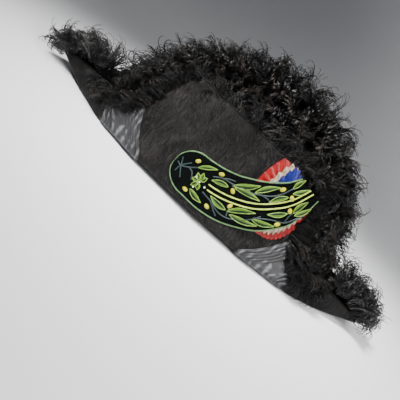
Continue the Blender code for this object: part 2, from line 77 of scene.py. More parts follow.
flat_turn = math.cos(CAMERA_RISE)
backward = Vector((
    math.sin(CAMERA_TURN) * flat_turn, -math.cos(CAMERA_TURN) * flat_turn, math.sin(CAMERA_RISE)
))
level_right = Vector((math.cos(CAMERA_TURN), math.sin(CAMERA_TURN), 0.0))
level_up = backward.cross(level_right)
view_right = level_right * math.cos(CAMERA_ROLL) + level_up * math.sin(CAMERA_ROLL)
view_up = level_up * math.cos(CAMERA_ROLL) - level_right * math.sin(CAMERA_ROLL)

camera = start_piece("camera", bpy.ops.object.camera_add)
camera.data.lens = CAMERA_LENS
camera.data.sensor_width = SENSOR_WIDTH
turn = Matrix((view_right, view_up, backward)).transposed().to_4x4()
camera.matrix_world = Matrix.Translation(CAMERA_AIM + backward * CAMERA_DISTANCE) @ turn
bpy.context.scene.camera = camera
print("camera at", [round(value, 3) for value in camera.matrix_world.translation])


# %% [markdown]
# ## The sweep
# The studio has a pale seamless sweep: a floor that curves up into a wall. A curve could be
# swept along it, but a plane whose far edge is extruded upwards and then bevelled gives the
# same shape in two operators, and one number sets its curve.

# %% Make the sweep
SWEEP_SIZE = 5.0
SWEEP_BACK = 1.3
SWEEP_HEIGHT = 3.0
SWEEP_CURVE = 0.7
SWEEP_DROP = 0.0003
SWEEP_COLOUR = (0.80, 0.80, 0.81, 1.0)


def select_edges(piece, wanted):
    """Go into edit mode with those edges selected whose two ends are both wanted."""
    bpy.ops.object.mode_set(mode="EDIT")
    bpy.ops.mesh.select_mode(type="EDGE")
    bpy.ops.mesh.select_all(action="DESELECT")
    bpy.ops.object.mode_set(mode="OBJECT")
    for edge in piece.data.edges:
        edge.select = all(wanted(piece.data.vertices[i].co) for i in edge.vertices)
    bpy.ops.object.mode_set(mode="EDIT")


sweep = start_piece("sweep", bpy.ops.mesh.primitive_plane_add, size=SWEEP_SIZE,
                    location=(0, SWEEP_BACK - SWEEP_SIZE / 2, -SWEEP_DROP))
bpy.ops.object.transform_apply(location=True, rotation=True, scale=True)
select_edges(sweep, lambda end: end.y > SWEEP_BACK - 0.01)
bpy.ops.mesh.extrude_region_move(TRANSFORM_OT_translate={"value": (0, 0, SWEEP_HEIGHT)})
bpy.ops.object.mode_set(mode="OBJECT")
select_edges(sweep, lambda end: end.y > SWEEP_BACK - 0.01 and end.z < 0.1)
bpy.ops.mesh.bevel(offset=SWEEP_CURVE, segments=24)
bpy.ops.object.mode_set(mode="OBJECT")
bpy.ops.object.shade_smooth()

paper = bpy.data.materials.new("sweep_paper")
paper.use_nodes = True
paper_shader = paper.node_tree.nodes["Principled BSDF"]
paper_shader.inputs["Base Color"].default_value = SWEEP_COLOUR
paper_shader.inputs["Roughness"].default_value = 0.9
sweep.data.materials.append(paper)
print("sweep faces:", len(sweep.data.polygons))


# %% [markdown]
# ## The light
# A soft key light hangs over the hat, on the side that the photograph is lit from, with a
# weak fill in front. Two more brighten the floor and the wall, so that the black hat stands
# out. One bright sky would be simpler, but it would take the shine off the feather and the
# silk, so the sky is weak, and area lights with a narrow spread do the work.

# %% Light the hat
LIGHTS = {
    "key": {"from": view_up * 0.80 + view_right * 0.10 + backward * 0.75, "to": (0.0, 0.0, 0.08),
            "far": 1.3, "size": 0.45, "power": 3.6, "spread": 30},
    "fill": {"from": backward * 1.0 - view_right * 0.5, "to": (0.0, 0.0, 0.05),
             "far": 1.7, "size": 1.2, "power": 0.8, "spread": 110},
    "floor": {"from": Vector((0.35, -0.60, 0.75)), "to": (0.45, -0.60, 0.0),
              "far": 1.0, "size": 0.9, "power": 12.0, "spread": 70},
    "wall": {"from": Vector((-0.5, -1.3, 0.6)), "to": (1.1, 1.1, 0.5),
             "far": 1.2, "size": 0.8, "power": 5.0, "spread": 90},
}
SKY_COLOUR = (0.80, 0.86, 0.95, 1.0)
SKY_STRENGTH = 0.07

for name, light in LIGHTS.items():
    towards = Vector(light["to"])
    place = towards + light["from"].normalized() * light["far"]
    lamp = start_piece(name + "_light", bpy.ops.object.light_add, type="AREA", location=place)
    lamp.data.size = light["size"]
    lamp.data.energy = light["power"]
    lamp.data.spread = math.radians(light["spread"])
    lamp.rotation_euler = (towards - place).to_track_quat("-Z", "Y").to_euler()

world = bpy.data.worlds.new("studio")
world.use_nodes = True
sky = world.node_tree.nodes["Background"].inputs
sky["Color"].default_value = SKY_COLOUR
sky["Strength"].default_value = SKY_STRENGTH
bpy.context.scene.world = world
print("lights:", list(LIGHTS))


# %% [markdown]
# ## The shape of the brim
# Every trim lies on the flaps, so the flaps are described once, as smooth curves through a
# short table of sections from the middle of the hat to the horn's tip. The trims could be
# shrink-wrapped onto the brim instead, but a formula also gives places beside and above it,
# and it takes whole arrays, because the feathers and the stitches ask for thousands.

# %% Describe the brim
HALF_LENGTH = 0.238
HALF_WIDTH = 0.090
FELT = 0.0028
FOLD_RADIUS = 0.006
NEAR_FLAP_HEIGHT = 0.116
FAR_FLAP_HEIGHT = 0.165
SOLE_ARCH = 0.006
TIP_RISE = 0.016
FLAP_LEAN = math.radians(15.0)

BRIM_NAMES = ("along", "width", "near_top", "far_top", "arch", "tip", "lean")
BRIM_SECTIONS = (
    (0.000, 1.000, 1.000, 1.000, 1.00, 0.00, 0.53),
    (0.197, 0.956, 1.000, 0.960, 0.87, 0.00, 0.60),
    (0.290, 0.916, 1.000, 0.918, 0.78, 0.00, 0.68),
    (0.353, 0.876, 0.984, 0.876, 0.72, 0.00, 0.78),
    (0.391, 0.845, 0.828, 0.845, 0.68, 0.00, 0.88),
    (0.420, 0.820, 0.638, 0.808, 0.64, 0.00, 0.95),
    (0.445, 0.796, 0.465, 0.774, 0.60, 0.00, 1.00),
    (0.525, 0.722, 0.338, 0.632, 0.44, 0.00, 0.92),
    (0.588, 0.655, 0.296, 0.500, 0.32, 0.00, 0.78),
    (0.622, 0.600, 0.280, 0.425, 0.00, 0.00, 0.68),
    (0.693, 0.467, 0.264, 0.262, 0.00, 0.00, 0.55),
    (0.735, 0.393, 0.259, 0.226, 0.00, 0.00, 0.50),
    (0.798, 0.291, 0.245, 0.214, 0.00, 0.09, 0.46),
    (0.870, 0.189, 0.222, 0.205, 0.00, 0.31, 0.42),
    (0.945, 0.104, 0.197, 0.170, 0.00, 0.66, 0.40),
    (1.000, 0.058, 0.185, 0.142, 0.00, 1.00, 0.40),
)
print("brim sections:", len(BRIM_SECTIONS))


# %% Draw curves through the sections
def smooth_curve(rows, column):
    """A curve through one column of a table that doesn't swing past its rows."""
    xs = np.array([row[0] for row in rows])
    ys = np.array([row[column] for row in rows])
    steps = np.diff(xs)
    slopes = np.diff(ys) / steps
    tangents = np.zeros(len(xs))
    tangents[-1] = slopes[-1]
    for i in range(1, len(xs) - 1):
        if slopes[i - 1] * slopes[i] > 0:
            tangents[i] = 2 * slopes[i - 1] * slopes[i] / (slopes[i - 1] + slopes[i])

    def value(share):
        share = np.clip(share, xs[0], xs[-1])
        i = np.clip(np.searchsorted(xs, share, side="right") - 1, 0, len(steps) - 1)
        t = (share - xs[i]) / steps[i]
        start = (1 + 2 * t) * (1 - t) ** 2 * ys[i] + t * (1 - t) ** 2 * steps[i] * tangents[i]
        end = t * t * (3 - 2 * t) * ys[i + 1] + t * t * (t - 1) * steps[i] * tangents[i + 1]
        return start + end

    return value


BRIM_CURVES = {name: smooth_curve(BRIM_SECTIONS, i) for i, name in enumerate(BRIM_NAMES)}
print("half width at half length, as a share:", round(float(BRIM_CURVES["width"](0.5)), 3))


# %% Find places on the flaps
def brim_share(x, name):
    return BRIM_CURVES[name](np.abs(x) / HALF_LENGTH)


def half_width(x):
    return HALF_WIDTH * brim_share(x, "width")


def sole_height(x):
    return SOLE_ARCH * brim_share(x, "arch") + TIP_RISE * brim_share(x, "tip")


def flap_top(side, x):
    """Height of a flap's edge: side is -1 on the cockade side and +1 on the far side."""
    near = NEAR_FLAP_HEIGHT * brim_share(x, "near_top")
    far = FAR_FLAP_HEIGHT * brim_share(x, "far_top")
    return np.where(np.asarray(side) < 0, near, far)


def fold_radius(x, inset=0.0):
    """Radius of the fold between the sole and a flap."""
    height = np.minimum(flap_top(-1, x), flap_top(1, x)) - sole_height(x) - inset
    return np.minimum(np.minimum(FOLD_RADIUS - inset, 0.45 * height), 0.9 * (half_width(x) - inset))


def flap_reach(x, z, inset=0.0):
    """Distance of a flap's face from the middle plane at a height."""
    base = sole_height(x) + inset + fold_radius(x, inset)
    lean = FLAP_LEAN * brim_share(x, "lean")
    return half_width(x) - inset - np.maximum(z - base, 0.0) * np.tan(lean)


def unit(vectors):
    """Vectors cut to a length of one."""
    return vectors / np.maximum(np.linalg.norm(vectors, axis=-1, keepdims=True), 1e-12)


def flap_normal(side, x, z):
    """The way out of a flap's face."""
    step = 0.001
    slope_x = (flap_reach(x + step, z) - flap_reach(x - step, z)) / (2 * step)
    slope_z = (flap_reach(x, z + step) - flap_reach(x, z - step)) / (2 * step)
    return unit(np.stack([-slope_x, side * np.ones_like(slope_x), -slope_z], axis=-1))


def flap_point(side, x, z, lift):
    """Points on a flap's outer face, lifted off it."""
    x, z, lift = np.broadcast_arrays(np.asarray(x, float), z, lift)
    points = np.stack([x, side * flap_reach(x, z), z], axis=-1)
    return points + flap_normal(side, x, z) * lift[..., None]


print("flap edge in the middle:", flap_point(-1, 0.0, NEAR_FLAP_HEIGHT, 0.0).round(4))


# %% [markdown]
# ## Tools for soft sheets
# Felt, ribbon and velvet all start as a flat grid, which is then formed over the hat, as a
# milliner forms cloth over a block. The grid keeps its flat layout as a UV map, so weave
# and folds can follow the cloth. A short list of helpers does the steps that come back.

# %% Helpers for sheets
def focus(piece):
    """Make one object the only one that operators act on."""
    bpy.ops.object.select_all(action="DESELECT")
    piece.select_set(True)
    bpy.context.view_layer.objects.active = piece


def get_points(piece):
    points = np.zeros(len(piece.data.vertices) * 3)
    piece.data.vertices.foreach_get("co", points)
    return points.reshape(-1, 3)


def set_points(piece, points):
    piece.data.vertices.foreach_set("co", np.ascontiguousarray(points).ravel())
    piece.data.update()


def form_sheet(name, columns, rows, shape, measured=True):
    """Add a flat grid and form it: shape turns its u and v, from 0 to 1, into points."""
    sheet = start_piece(name, bpy.ops.mesh.primitive_grid_add,
                        x_subdivisions=columns, y_subdivisions=rows, size=1.0)
    flat = get_points(sheet)
    formed = shape(flat[:, 0] + 0.5, flat[:, 1] + 0.5)
    set_points(sheet, formed)
    if measured:
        grid = formed.reshape(rows + 1, columns + 1, 3) * 1000
        along = np.linalg.norm(np.diff(grid[rows // 3], axis=0), axis=1).sum()
        across = np.linalg.norm(np.diff(grid[:, columns // 3], axis=0), axis=1).sum()
        print(f"{name}: flat sheet of {along:.0f} mm by {across:.0f} mm")
    return sheet


# %% Helpers for editing
def edit_all(piece, *steps):
    """Run edit mode operators on the whole of a piece."""
    focus(piece)
    bpy.ops.object.mode_set(mode="EDIT")
    bpy.ops.mesh.select_mode(type="VERT")
    bpy.ops.mesh.select_all(action="SELECT")
    for step in steps:
        step()
    bpy.ops.object.mode_set(mode="OBJECT")


def close_seam(reach=1e-6):
    bpy.ops.mesh.remove_doubles(threshold=reach)


def face_outwards():
    bpy.ops.mesh.normals_make_consistent(inside=False)


def apply_modifier(piece, kind, **settings):
    """Add a modifier with its settings and apply it."""
    focus(piece)
    modifier = piece.modifiers.new(kind.lower(), kind)
    for key, value in settings.items():
        setattr(modifier, key, value)
    bpy.ops.object.modifier_apply(modifier=modifier.name)


def thicken(sheet, thickness, sample=0):
    """Turn an open sheet's faces towards the cockade side, where the sample face tells
    which way they look, and give it a thickness behind them."""
    edit_all(sheet, close_seam, face_outwards)
    if sheet.data.polygons[sample].normal.y > 0:
        edit_all(sheet, bpy.ops.mesh.flip_normals)
    apply_modifier(sheet, "SOLIDIFY", thickness=thickness, offset=-1.0)


def finish_piece(piece, slot, *nodes, angle=40.0):
    """Shade a piece, give it a body, and hide the solids that it stands for. Its slot is not used."""
    focus(piece)
    bpy.ops.object.shade_smooth_by_angle(angle=math.radians(angle))
    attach(piece, "root")
    if nodes:
        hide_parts(*nodes)
    triangles = sum(len(polygon.vertices) - 2 for polygon in piece.data.polygons)
    print(f"{piece.name}: {triangles} triangles")


def blend_between(start, end, value):
    """0 before start, 1 after end, and smooth between."""
    t = np.clip((value - start) / (end - start), 0.0, 1.0)
    return t * t * (3 - 2 * t)


# %% [markdown]
# ## Tools for finishes
# Each finish is a small net of shader nodes: a pattern, a ramp that turns it into colour,
# and a bump that lets it catch the light. Patterns read Object coordinates, which are metres
# here, or the UV map where they follow the cloth. What is the same all over a surface, such
# as its gloss, is set on the shader itself.

# %% Helpers for finishes
def start_finish(name, roughness, specular):
    """A new material and its shader."""
    material = bpy.data.materials.new(name)
    material.use_nodes = True
    shader = material.node_tree.nodes["Principled BSDF"]
    shader.inputs["Roughness"].default_value = roughness
    shader.inputs["Specular IOR Level"].default_value = specular
    print(f"{name}: roughness {roughness}, specular level {specular}")
    return material, shader


def add_node(material, kind, inputs=None, **settings):
    """Add a shader node. An input is a value, or an output that is linked to it."""
    node = material.node_tree.nodes.new("ShaderNode" + kind)
    for key, value in settings.items():
        setattr(node, key, value)
    for key, value in (inputs or {}).items():
        if isinstance(value, bpy.types.NodeSocket):
            material.node_tree.links.new(value, node.inputs[key])
        else:
            node.inputs[key].default_value = value
    return node


def place_pattern(material, scale=(1, 1, 1), turn=(0, 0, 0), source="Object"):
    """Coordinates for a pattern, stretched and turned."""
    coordinates = add_node(material, "TexCoord").outputs[source]
    settings = {"Vector": coordinates, "Scale": scale, "Rotation": turn}
    return add_node(material, "Mapping", settings).outputs["Vector"]


def noise(material, vector, scale, detail=2.0, distortion=0.0):
    settings = {"Vector": vector, "Scale": scale, "Detail": detail, "Distortion": distortion}
    return add_node(material, "TexNoise", settings).outputs["Fac"]


def waves(material, vector, scale, direction="X", distortion=0.0, detail=2.0, detail_scale=1.0):
    settings = {"Vector": vector, "Scale": scale, "Distortion": distortion,
                "Detail": detail, "Detail Scale": detail_scale}
    return add_node(material, "TexWave", settings, bands_direction=direction).outputs["Fac"]


def ramp(material, factor, *stops):
    """Colours at places from 0 to 1 along a factor."""
    node = add_node(material, "ValToRGB", {"Fac": factor})
    while len(node.color_ramp.elements) < len(stops):
        node.color_ramp.elements.new(0.5)
    for element, (place, colour) in zip(node.color_ramp.elements, stops):
        element.position = place
        element.color = (*colour, 1.0)
    return node.outputs["Color"]


def calculate(material, operation, first, second=0.0):
    return add_node(material, "Math", {0: first, 1: second}, operation=operation).outputs["Value"]


def rescale(material, value, before, after, kind="LINEAR"):
    """A value that runs over one range, moved to another one and held there."""
    settings = {"Value": value, "From Min": before[0], "From Max": before[1],
                "To Min": after[0], "To Max": after[1]}
    return add_node(material, "MapRange", settings, interpolation_type=kind).outputs["Result"]


def mixture(material, first, second, share):
    """A share of one pattern, and the rest of another."""
    parts = [calculate(material, "MULTIPLY", *part) for part in ((first, share), (second, 1 - share))]
    return calculate(material, "ADD", *parts)


def own_tone(material):
    """The tone that a piece keeps at its own points."""
    return add_node(material, "Attribute", attribute_name="tone").outputs["Fac"]


def set_colour(material, shader, colour):
    material.node_tree.links.new(colour, shader.inputs["Base Color"])


def set_bump(material, shader, height, distance):
    """Link a height that is distance metres from lowest to highest."""
    bump = add_node(material, "Bump", {"Height": height, "Distance": distance})
    material.node_tree.links.new(bump.outputs["Normal"], shader.inputs["Normal"])


def fibre_finish(name, dark, light, roughness, specular, cloud=260.0, fibres=3200.0, depth=0.00012,
                 distortion=0.0):
    """Spun or cut fibres: a bump of fine fibres under a cloud of darker and lighter colour."""
    material, shader = start_finish(name, roughness, specular)
    fine = noise(material, place_pattern(material), fibres)
    drift = noise(material, place_pattern(material), cloud, distortion=distortion)
    set_colour(material, shader, ramp(material, drift, (0.3, dark), (0.7, light)))
    set_bump(material, shader, fine, depth)
    return material


def dress(material, *pieces):
    """Give pieces one material."""
    for piece in pieces:
        piece.data.materials.clear()
        piece.data.materials.append(material)


# %% [markdown]
# ## The felt brim
# A real brim is one round of stiffened felt, steamed and folded up on both sides. A sheet
# with a Solidify modifier would pinch at the tight folds, so the grid runs round the whole
# wall of the felt: down the outside, under the sole, up, over the rolled edge and back on
# the inside. Its seam is merged and its ends are filled. A Boolean with an oval cylinder
# then opens it for the head.

# %% Form the brim
BRIM_COLUMNS = 156
SECTION_STEPS = (22, 7, 8, 7, 22)
EDGE_STEPS = 6

section_rows = sum(SECTION_STEPS)
wall_rows = 2 * (section_rows + EDGE_STEPS)


def wall_line(x, share, inset):
    """Points of the U of the brim: share runs from the near edge down, under and up."""
    sole = sole_height(x) + inset
    radius = fold_radius(x, inset)
    width = half_width(x) - inset
    marks = np.cumsum((0,) + SECTION_STEPS) / section_rows
    points = np.zeros(x.shape + (3,))
    for part in range(5):
        inside = (share >= marks[part]) & (share <= marks[part + 1])
        t = (share - marks[part]) / (marks[part + 1] - marks[part])
        side = -1.0 if part < 2 else 1.0
        if part in (0, 4):
            climb = 1 - t if part == 0 else t
            z = sole + radius + (flap_top(side, x) - sole - radius) * climb
            y = side * flap_reach(x, z, inset)
        elif part in (1, 3):
            bend = math.pi / 2 * (t if part == 1 else 1 - t)
            y = side * (width - radius + radius * np.cos(bend))
            z = sole + radius - radius * np.sin(bend)
        else:
            y = (width - radius) * (2 * t - 1)
            z = sole
        found = np.stack([x, y + 0 * x, z + 0 * x], axis=-1)
        points[inside] = found[inside]
    return points


def brim_wall(u, v):
    """The outside of the wall, its far edge, its inside and its near edge, in one loop."""
    x = HALF_LENGTH * (2 * u - 1)
    row = np.rint(v * wall_rows)
    inner_end = wall_rows - EDGE_STEPS
    points = wall_line(x, np.clip(row / section_rows, 0, 1), 0.0)
    inner = wall_line(x, np.clip((inner_end - row) / section_rows, 0, 1), FELT)
    points = np.where((row > section_rows + EDGE_STEPS)[:, None], inner, points)
    for first_row, share in ((section_rows, 1.0), (inner_end, 0.0)):
        turn = (row - first_row) / EDGE_STEPS * math.pi
        rolled = (turn > 0) & (turn < math.pi)
        start, end = (wall_line(x, share + 0 * x, inset) for inset in (0.0, FELT))
        if share == 0.0:
            start, end = end, start
        middle = (start + end) / 2
        over = middle + (start - middle) * np.cos(turn)[:, None]
        over[:, 2] += np.sin(turn) * FELT / 2
        points = np.where(rolled[:, None], over, points)
    return points


brim = form_sheet("brim_felt", BRIM_COLUMNS, wall_rows, brim_wall)
edit_all(brim, close_seam, lambda: bpy.ops.mesh.fill_holes(sides=0), face_outwards)


# %% Open the brim for the head
OPENING_LENGTH = 0.200
OPENING_WIDTH = 0.160
CUTTER_DEPTH = 0.05


def cut_head_opening(piece, margin):
    """Cut the oval head opening out of a piece, with a margin round it."""
    cutter = start_piece("cutter", bpy.ops.mesh.primitive_cylinder_add,
                         vertices=160, radius=0.5, depth=CUTTER_DEPTH)
    cutter.scale = (OPENING_LENGTH + 2 * margin, OPENING_WIDTH + 2 * margin, 1.0)
    bpy.ops.object.transform_apply(location=False, rotation=False, scale=True)
    apply_modifier(piece, "BOOLEAN", operation="DIFFERENCE", object=cutter, solver="EXACT")
    bpy.data.objects.remove(cutter)


cut_head_opening(brim, 0.0)
finish_piece(brim, "felt", "brim", angle=50.0)


# %% [markdown]
# ## The crown
# The crown is the cap that holds the head. The flaps hide most of it, so it only needs a
# true shape: an oval dome with a felt wall, open below. A sphere could be cut and scaled,
# but its wall would be thick at the top. One grid makes the outside and one the inside, they
# meet at the top, and a bridge closes the brow between their lower edges.

# %% Form the crown
CROWN_HEIGHT = 0.104
CROWN_GAP = 0.0003
CROWN_COLUMNS = 72
CROWN_ROWS = 24
CROWN_ROUNDING = 0.45
INNER_TOP = 0.50001


def crown_wall(u, v):
    """Points of the crown's wall: the first half of v is outside, the second inside."""
    inset = np.where(v > 0.5, FELT, 0.0)
    climb = np.sin(math.pi / 2 * (1 - np.abs(2 * v - 1)))
    rise = (CROWN_HEIGHT - inset) * climb
    rounding = np.maximum(1 - climb ** 4, 0.0) ** CROWN_ROUNDING
    rounding = np.where(np.isclose(v, 0.5), 0.0, rounding)
    taper = rise * math.tan(FLAP_LEAN * BRIM_SECTIONS[0][6])
    turn = 2 * math.pi * u
    x = (OPENING_LENGTH / 2 + FELT - inset - taper) * rounding * np.cos(turn)
    y = (OPENING_WIDTH / 2 + FELT - inset - taper) * rounding * np.sin(turn)
    arch = sole_height(x) * (1 - climb) + sole_height(0.0) * climb
    return np.stack([x, y, arch + FELT + CROWN_GAP + rise], axis=-1)


def bridge_brow():
    bpy.ops.mesh.select_mode(type="EDGE")
    bpy.ops.mesh.select_all(action="DESELECT")
    bpy.ops.mesh.select_non_manifold()
    bpy.ops.mesh.bridge_edge_loops()
    bpy.ops.mesh.select_all(action="SELECT")


crown, lining = (
    form_sheet(name, CROWN_COLUMNS, CROWN_ROWS, lambda u, v: crown_wall(u, start + v / 2))
    for name, start in (("crown_outside", 0.0), ("crown_inside", INNER_TOP)))
focus(crown)
lining.select_set(True)
bpy.ops.object.join()
crown.name = crown.data.name = "crown_cap"
edit_all(crown, lambda: close_seam(2e-5), bridge_brow, face_outwards)
finish_piece(crown, "crown_felt", "crown", angle=50.0)


# %% [markdown]
# ## The felt's finish
# The brim's felt is brushed, so it shows long streaks of light and dark with soft swirls in
# them. A picture of fur would repeat and need a flat layout. Stretched noise gives the
# streaks, rounder noise the swirls, and a fine grain goes into the bump alone. The cap is
# matt and even.

# %% Finish the felt
NAP_DARK = (0.0008, 0.0007, 0.0007)
NAP_MIDDLE = (0.0036, 0.0033, 0.0031)
NAP_LIGHT = (0.026, 0.0235, 0.0220)
STREAK_SCALE = (520, 260, 130)
STREAK_TURN = (0, math.radians(24), 0)
SWIRL_SCALE = (26, 20, 22)
CAP_DARK = (0.010, 0.009, 0.009)
CAP_LIGHT = (0.026, 0.024, 0.023)

felt, shader = start_finish("plush_felt", 0.80, 0.12)
streaks = noise(felt, place_pattern(felt, STREAK_SCALE, STREAK_TURN), 1.0, 4.0, 0.9)
swirls = noise(felt, place_pattern(felt, SWIRL_SCALE), 1.0, 3.0, 1.6)
grain = noise(felt, place_pattern(felt), 2600.0)
tone = mixture(felt, streaks, swirls, 0.62)
set_colour(felt, shader, ramp(felt, tone, (0.30, NAP_DARK), (0.50, NAP_MIDDLE), (0.72, NAP_LIGHT)))
set_bump(felt, shader, calculate(felt, "ADD", streaks, calculate(felt, "MULTIPLY", grain, 0.35)), 0.0009)
dress(felt, brim)

cap_felt, shader = start_finish("cap_felt", 0.85, 0.20)
fibres = noise(cap_felt, place_pattern(cap_felt), 1400.0, 4.0, 0.8)
set_colour(cap_felt, shader, ramp(cap_felt, fibres, (0.3, CAP_DARK), (0.7, CAP_LIGHT)))
set_bump(cap_felt, shader, fibres, 0.0004)
dress(cap_felt, crown)


# %% [markdown]
# ## The ribbons
# A watered silk ribbon is wrapped round the root of each horn. It is laid in narrow knife
# pleats along its inner and its outer edge, with a wide smooth panel between them. Cloth
# simulation would soften the pleats away, so they are drawn: the grid runs across the ribbon
# one way, and up one flap, under the sole and up the other flap the other way, and each
# pleat is a ridge that rises fast and falls slowly.

# %% Form the ribbons
RIBBON_LIFT = 0.0015
RIBBON_THICKNESS = 0.0007
RIBBON_SOLE = (0.072, 0.137)
RIBBON_TOP = (0.1065, 0.147)
RIBBON_BOW = 0.004
RIBBON_MARGIN = 0.0016
RIBBON_SHY = 0.0006
RIBBON_COLUMNS = 88
RIBBON_ROWS = 76
UNDER_SOLE = 0.33
ROUND_FOLD = 0.45
INNER_PLEATS = (0.03, 0.40, 5)
OUTER_PLEATS = (0.76, 0.985, 3)
PLEAT_HEIGHT = 0.0011
PLEAT_SHAPE = (0.45, 0.8)
PLEATS_START = (0.25, 0.5)
SOLE_EASE = 0.2


def knife_pleats(u):
    """Height of the pleats across the ribbon, as a share of one pleat's height."""
    height = np.zeros_like(u)
    for start, end, count in (INNER_PLEATS, OUTER_PLEATS):
        t = (u - start) / (end - start) * count
        ridge = np.sin(math.pi * np.mod(t, 1.0) ** PLEAT_SHAPE[0]) ** PLEAT_SHAPE[1]
        height = np.where((t > 0) & (t < count), ridge, height)
    return height


def ribbon_surface(end):
    """The forming of one ribbon: end is 1 for the front horn and -1 for the back one."""
    def shape(u, v):
        side = np.where(v < 0.5, -1.0, 1.0)
        run = np.abs(2 * v - 1)
        climb = np.clip((run - ROUND_FOLD) / (1 - ROUND_FOLD), 0, 1)
        low = RIBBON_SOLE[0] + (RIBBON_SOLE[1] - RIBBON_SOLE[0]) * u
        high = RIBBON_TOP[0] + (RIBBON_TOP[1] - RIBBON_TOP[0]) * u
        bow = RIBBON_BOW * np.sin(math.pi * climb) * (1 - u)
        x = end * (low + (high - low) * climb + bow)
        sole = sole_height(x)
        radius = fold_radius(x)
        flat = half_width(x) - radius
        lift = RIBBON_LIFT + PLEAT_HEIGHT * knife_pleats(u) * blend_between(*PLEATS_START, run)
        top = flap_top(side, end * high) - RIBBON_SHY
        z = sole + radius + (top - sole - radius) * climb
        points = flap_point(1.0, x, z, lift)
        points[:, 1] *= side
        bend = math.pi / 2 * np.clip((ROUND_FOLD - run) / (ROUND_FOLD - UNDER_SOLE), 0, 1)
        folded = np.stack([x, side * (flat + (radius + lift) * np.cos(bend)),
                           sole + radius - (radius + lift) * np.sin(bend)], axis=-1)
        drop = lift * np.clip(run / SOLE_EASE, 0.5, 1)
        under = np.stack([x, side * flat * run / UNDER_SOLE, sole - drop], axis=-1)
        points = np.where((run < ROUND_FOLD)[:, None], folded, points)
        return np.where((run < UNDER_SOLE)[:, None], under, points)
    return shape


ribbons = []
for name, end in (("fore", 1), ("aft", -1)):
    ribbon = form_sheet(name + "_moire_ribbon", RIBBON_COLUMNS, RIBBON_ROWS, ribbon_surface(end))
    thicken(ribbon, RIBBON_THICKNESS)
    cut_head_opening(ribbon, RIBBON_MARGIN)
    finish_piece(ribbon, "ribbon", name + "_ribbon", angle=60.0)
    ribbons.append(ribbon)


# %% [markdown]
# ## The silk's finish
# Watered silk is pressed so that its ribs lie flat in patches, and it shines in bent bands
# that open upwards like a V. Here that shine is painted into the colour: the bands carry the
# watered pattern with a painted sheen, and painted shade in the folds. A wave texture gives
# the bands: the place across the ribbon is slanted more and more as the ribbon climbs, one
# way near its inner edge and the other way near its outer edge. Noise lets them fade in and
# out, and the fine ribs are a bump.

# %% Finish the silk
# The darkest silk colour is partly painted shade, and the brightest is a painted sheen.
SILK_DARK = (0.0045, 0.0045, 0.0050)
SILK_MIDDLE = (0.015, 0.015, 0.016)
SILK_PAINTED_SHEEN = (0.095, 0.095, 0.10)
SLANT_PLACES = (0.40, 0.80)
SLANTS = (1.7, -0.6)
BAND_SCALE = 2.5
PATCH_SCALE = (3.0, 11.0, 1.0)
SHEEN_LEVEL = 0.38
RIB_SCALE = 60.0

silk, shader = start_finish("watered_silk", 0.45, 0.28)
water = place_pattern(silk, source="UV")
place = add_node(silk, "SeparateXYZ", {"Vector": water}).outputs
run = calculate(silk, "ABSOLUTE", calculate(silk, "SUBTRACT", place["Y"], 0.5))
climb = calculate(silk, "MAXIMUM", calculate(silk, "SUBTRACT", run, ROUND_FOLD / 2))
slant = rescale(silk, place["X"], SLANT_PLACES, SLANTS, "SMOOTHSTEP")
slanted = calculate(silk, "ADD", place["X"], calculate(silk, "MULTIPLY", slant, climb))
bent = add_node(silk, "CombineXYZ", {"X": slanted, "Y": calculate(silk, "MULTIPLY", place["Y"], 3.0)})
bands = waves(silk, bent.outputs["Vector"], BAND_SCALE, distortion=2.6, detail=1.0, detail_scale=1.6)
drift = noise(silk, place_pattern(silk, PATCH_SCALE, source="UV"), 1.0, 1.0, 0.5)
patches = rescale(silk, drift, (0.40, 0.62), (0.10, 1.0))
swing = calculate(silk, "MULTIPLY", calculate(silk, "SUBTRACT", bands, 0.45), patches)
# The bands and the sheen level place the painted sheen and shade on the silk's colour.
figure_and_sheen = calculate(silk, "ADD", swing, SHEEN_LEVEL)
set_colour(silk, shader, ramp(silk, figure_and_sheen, (0.12, SILK_DARK), (0.46, SILK_MIDDLE), (0.88, SILK_PAINTED_SHEEN)))
set_bump(silk, shader, waves(silk, water, RIB_SCALE), 0.00010)
dress(silk, *ribbons)


# %% [markdown]
# ## The cockade
# A cockade is made of ribbon that is pleated edge over edge and drawn into a round: a wide
# red one, a white one on it, and a blue one in the middle. The points of the pleats show as
# a zigzag round each rim. One pleat could be copied round a circle, but the rounds aren't
# true circles here: the flap's edge and the loop press on them. So each disc is a grid that
# goes round one way and outwards the other, folded as it goes round.

# %% Form the cockade
COCKADE_X = 0.069
COCKADE_Z = 0.0825
COCKADE_WIDTH = 0.066
COCKADE_HEIGHT = 0.092
COCKADE_ROOM = NEAR_FLAP_HEIGHT - 0.0015 - COCKADE_Z
COCKADE_CORNER = np.array([0.0640, 0.1120])
CORNER_SLOPE = np.array([0.60, 0.80])
DISC_NAMES = ("colour", "shift", "across", "up", "down", "full", "lift", "pleats", "points")
COCKADE_DISCS = (
    ("red", 0.0, 1.0, 1.24, 1.0, 0.62, 0.0009, 40, 0.010),
    ("white", 0.0026, 0.76, 1.22, 0.90, 0.85, 0.0028, 36, 0.045),
    ("blue", 0.0026, 0.63, 1.08, 0.70, 1.0, 0.0046, 32, 0.050),
)
FOLD_DEPTH = 0.0009
FOLD_CREST = 0.3
DISC_THICKNESS = 0.0005
STEPS_IN_PLEAT = 6
DISC_RINGS = 10
DISC_EYE = 0.03


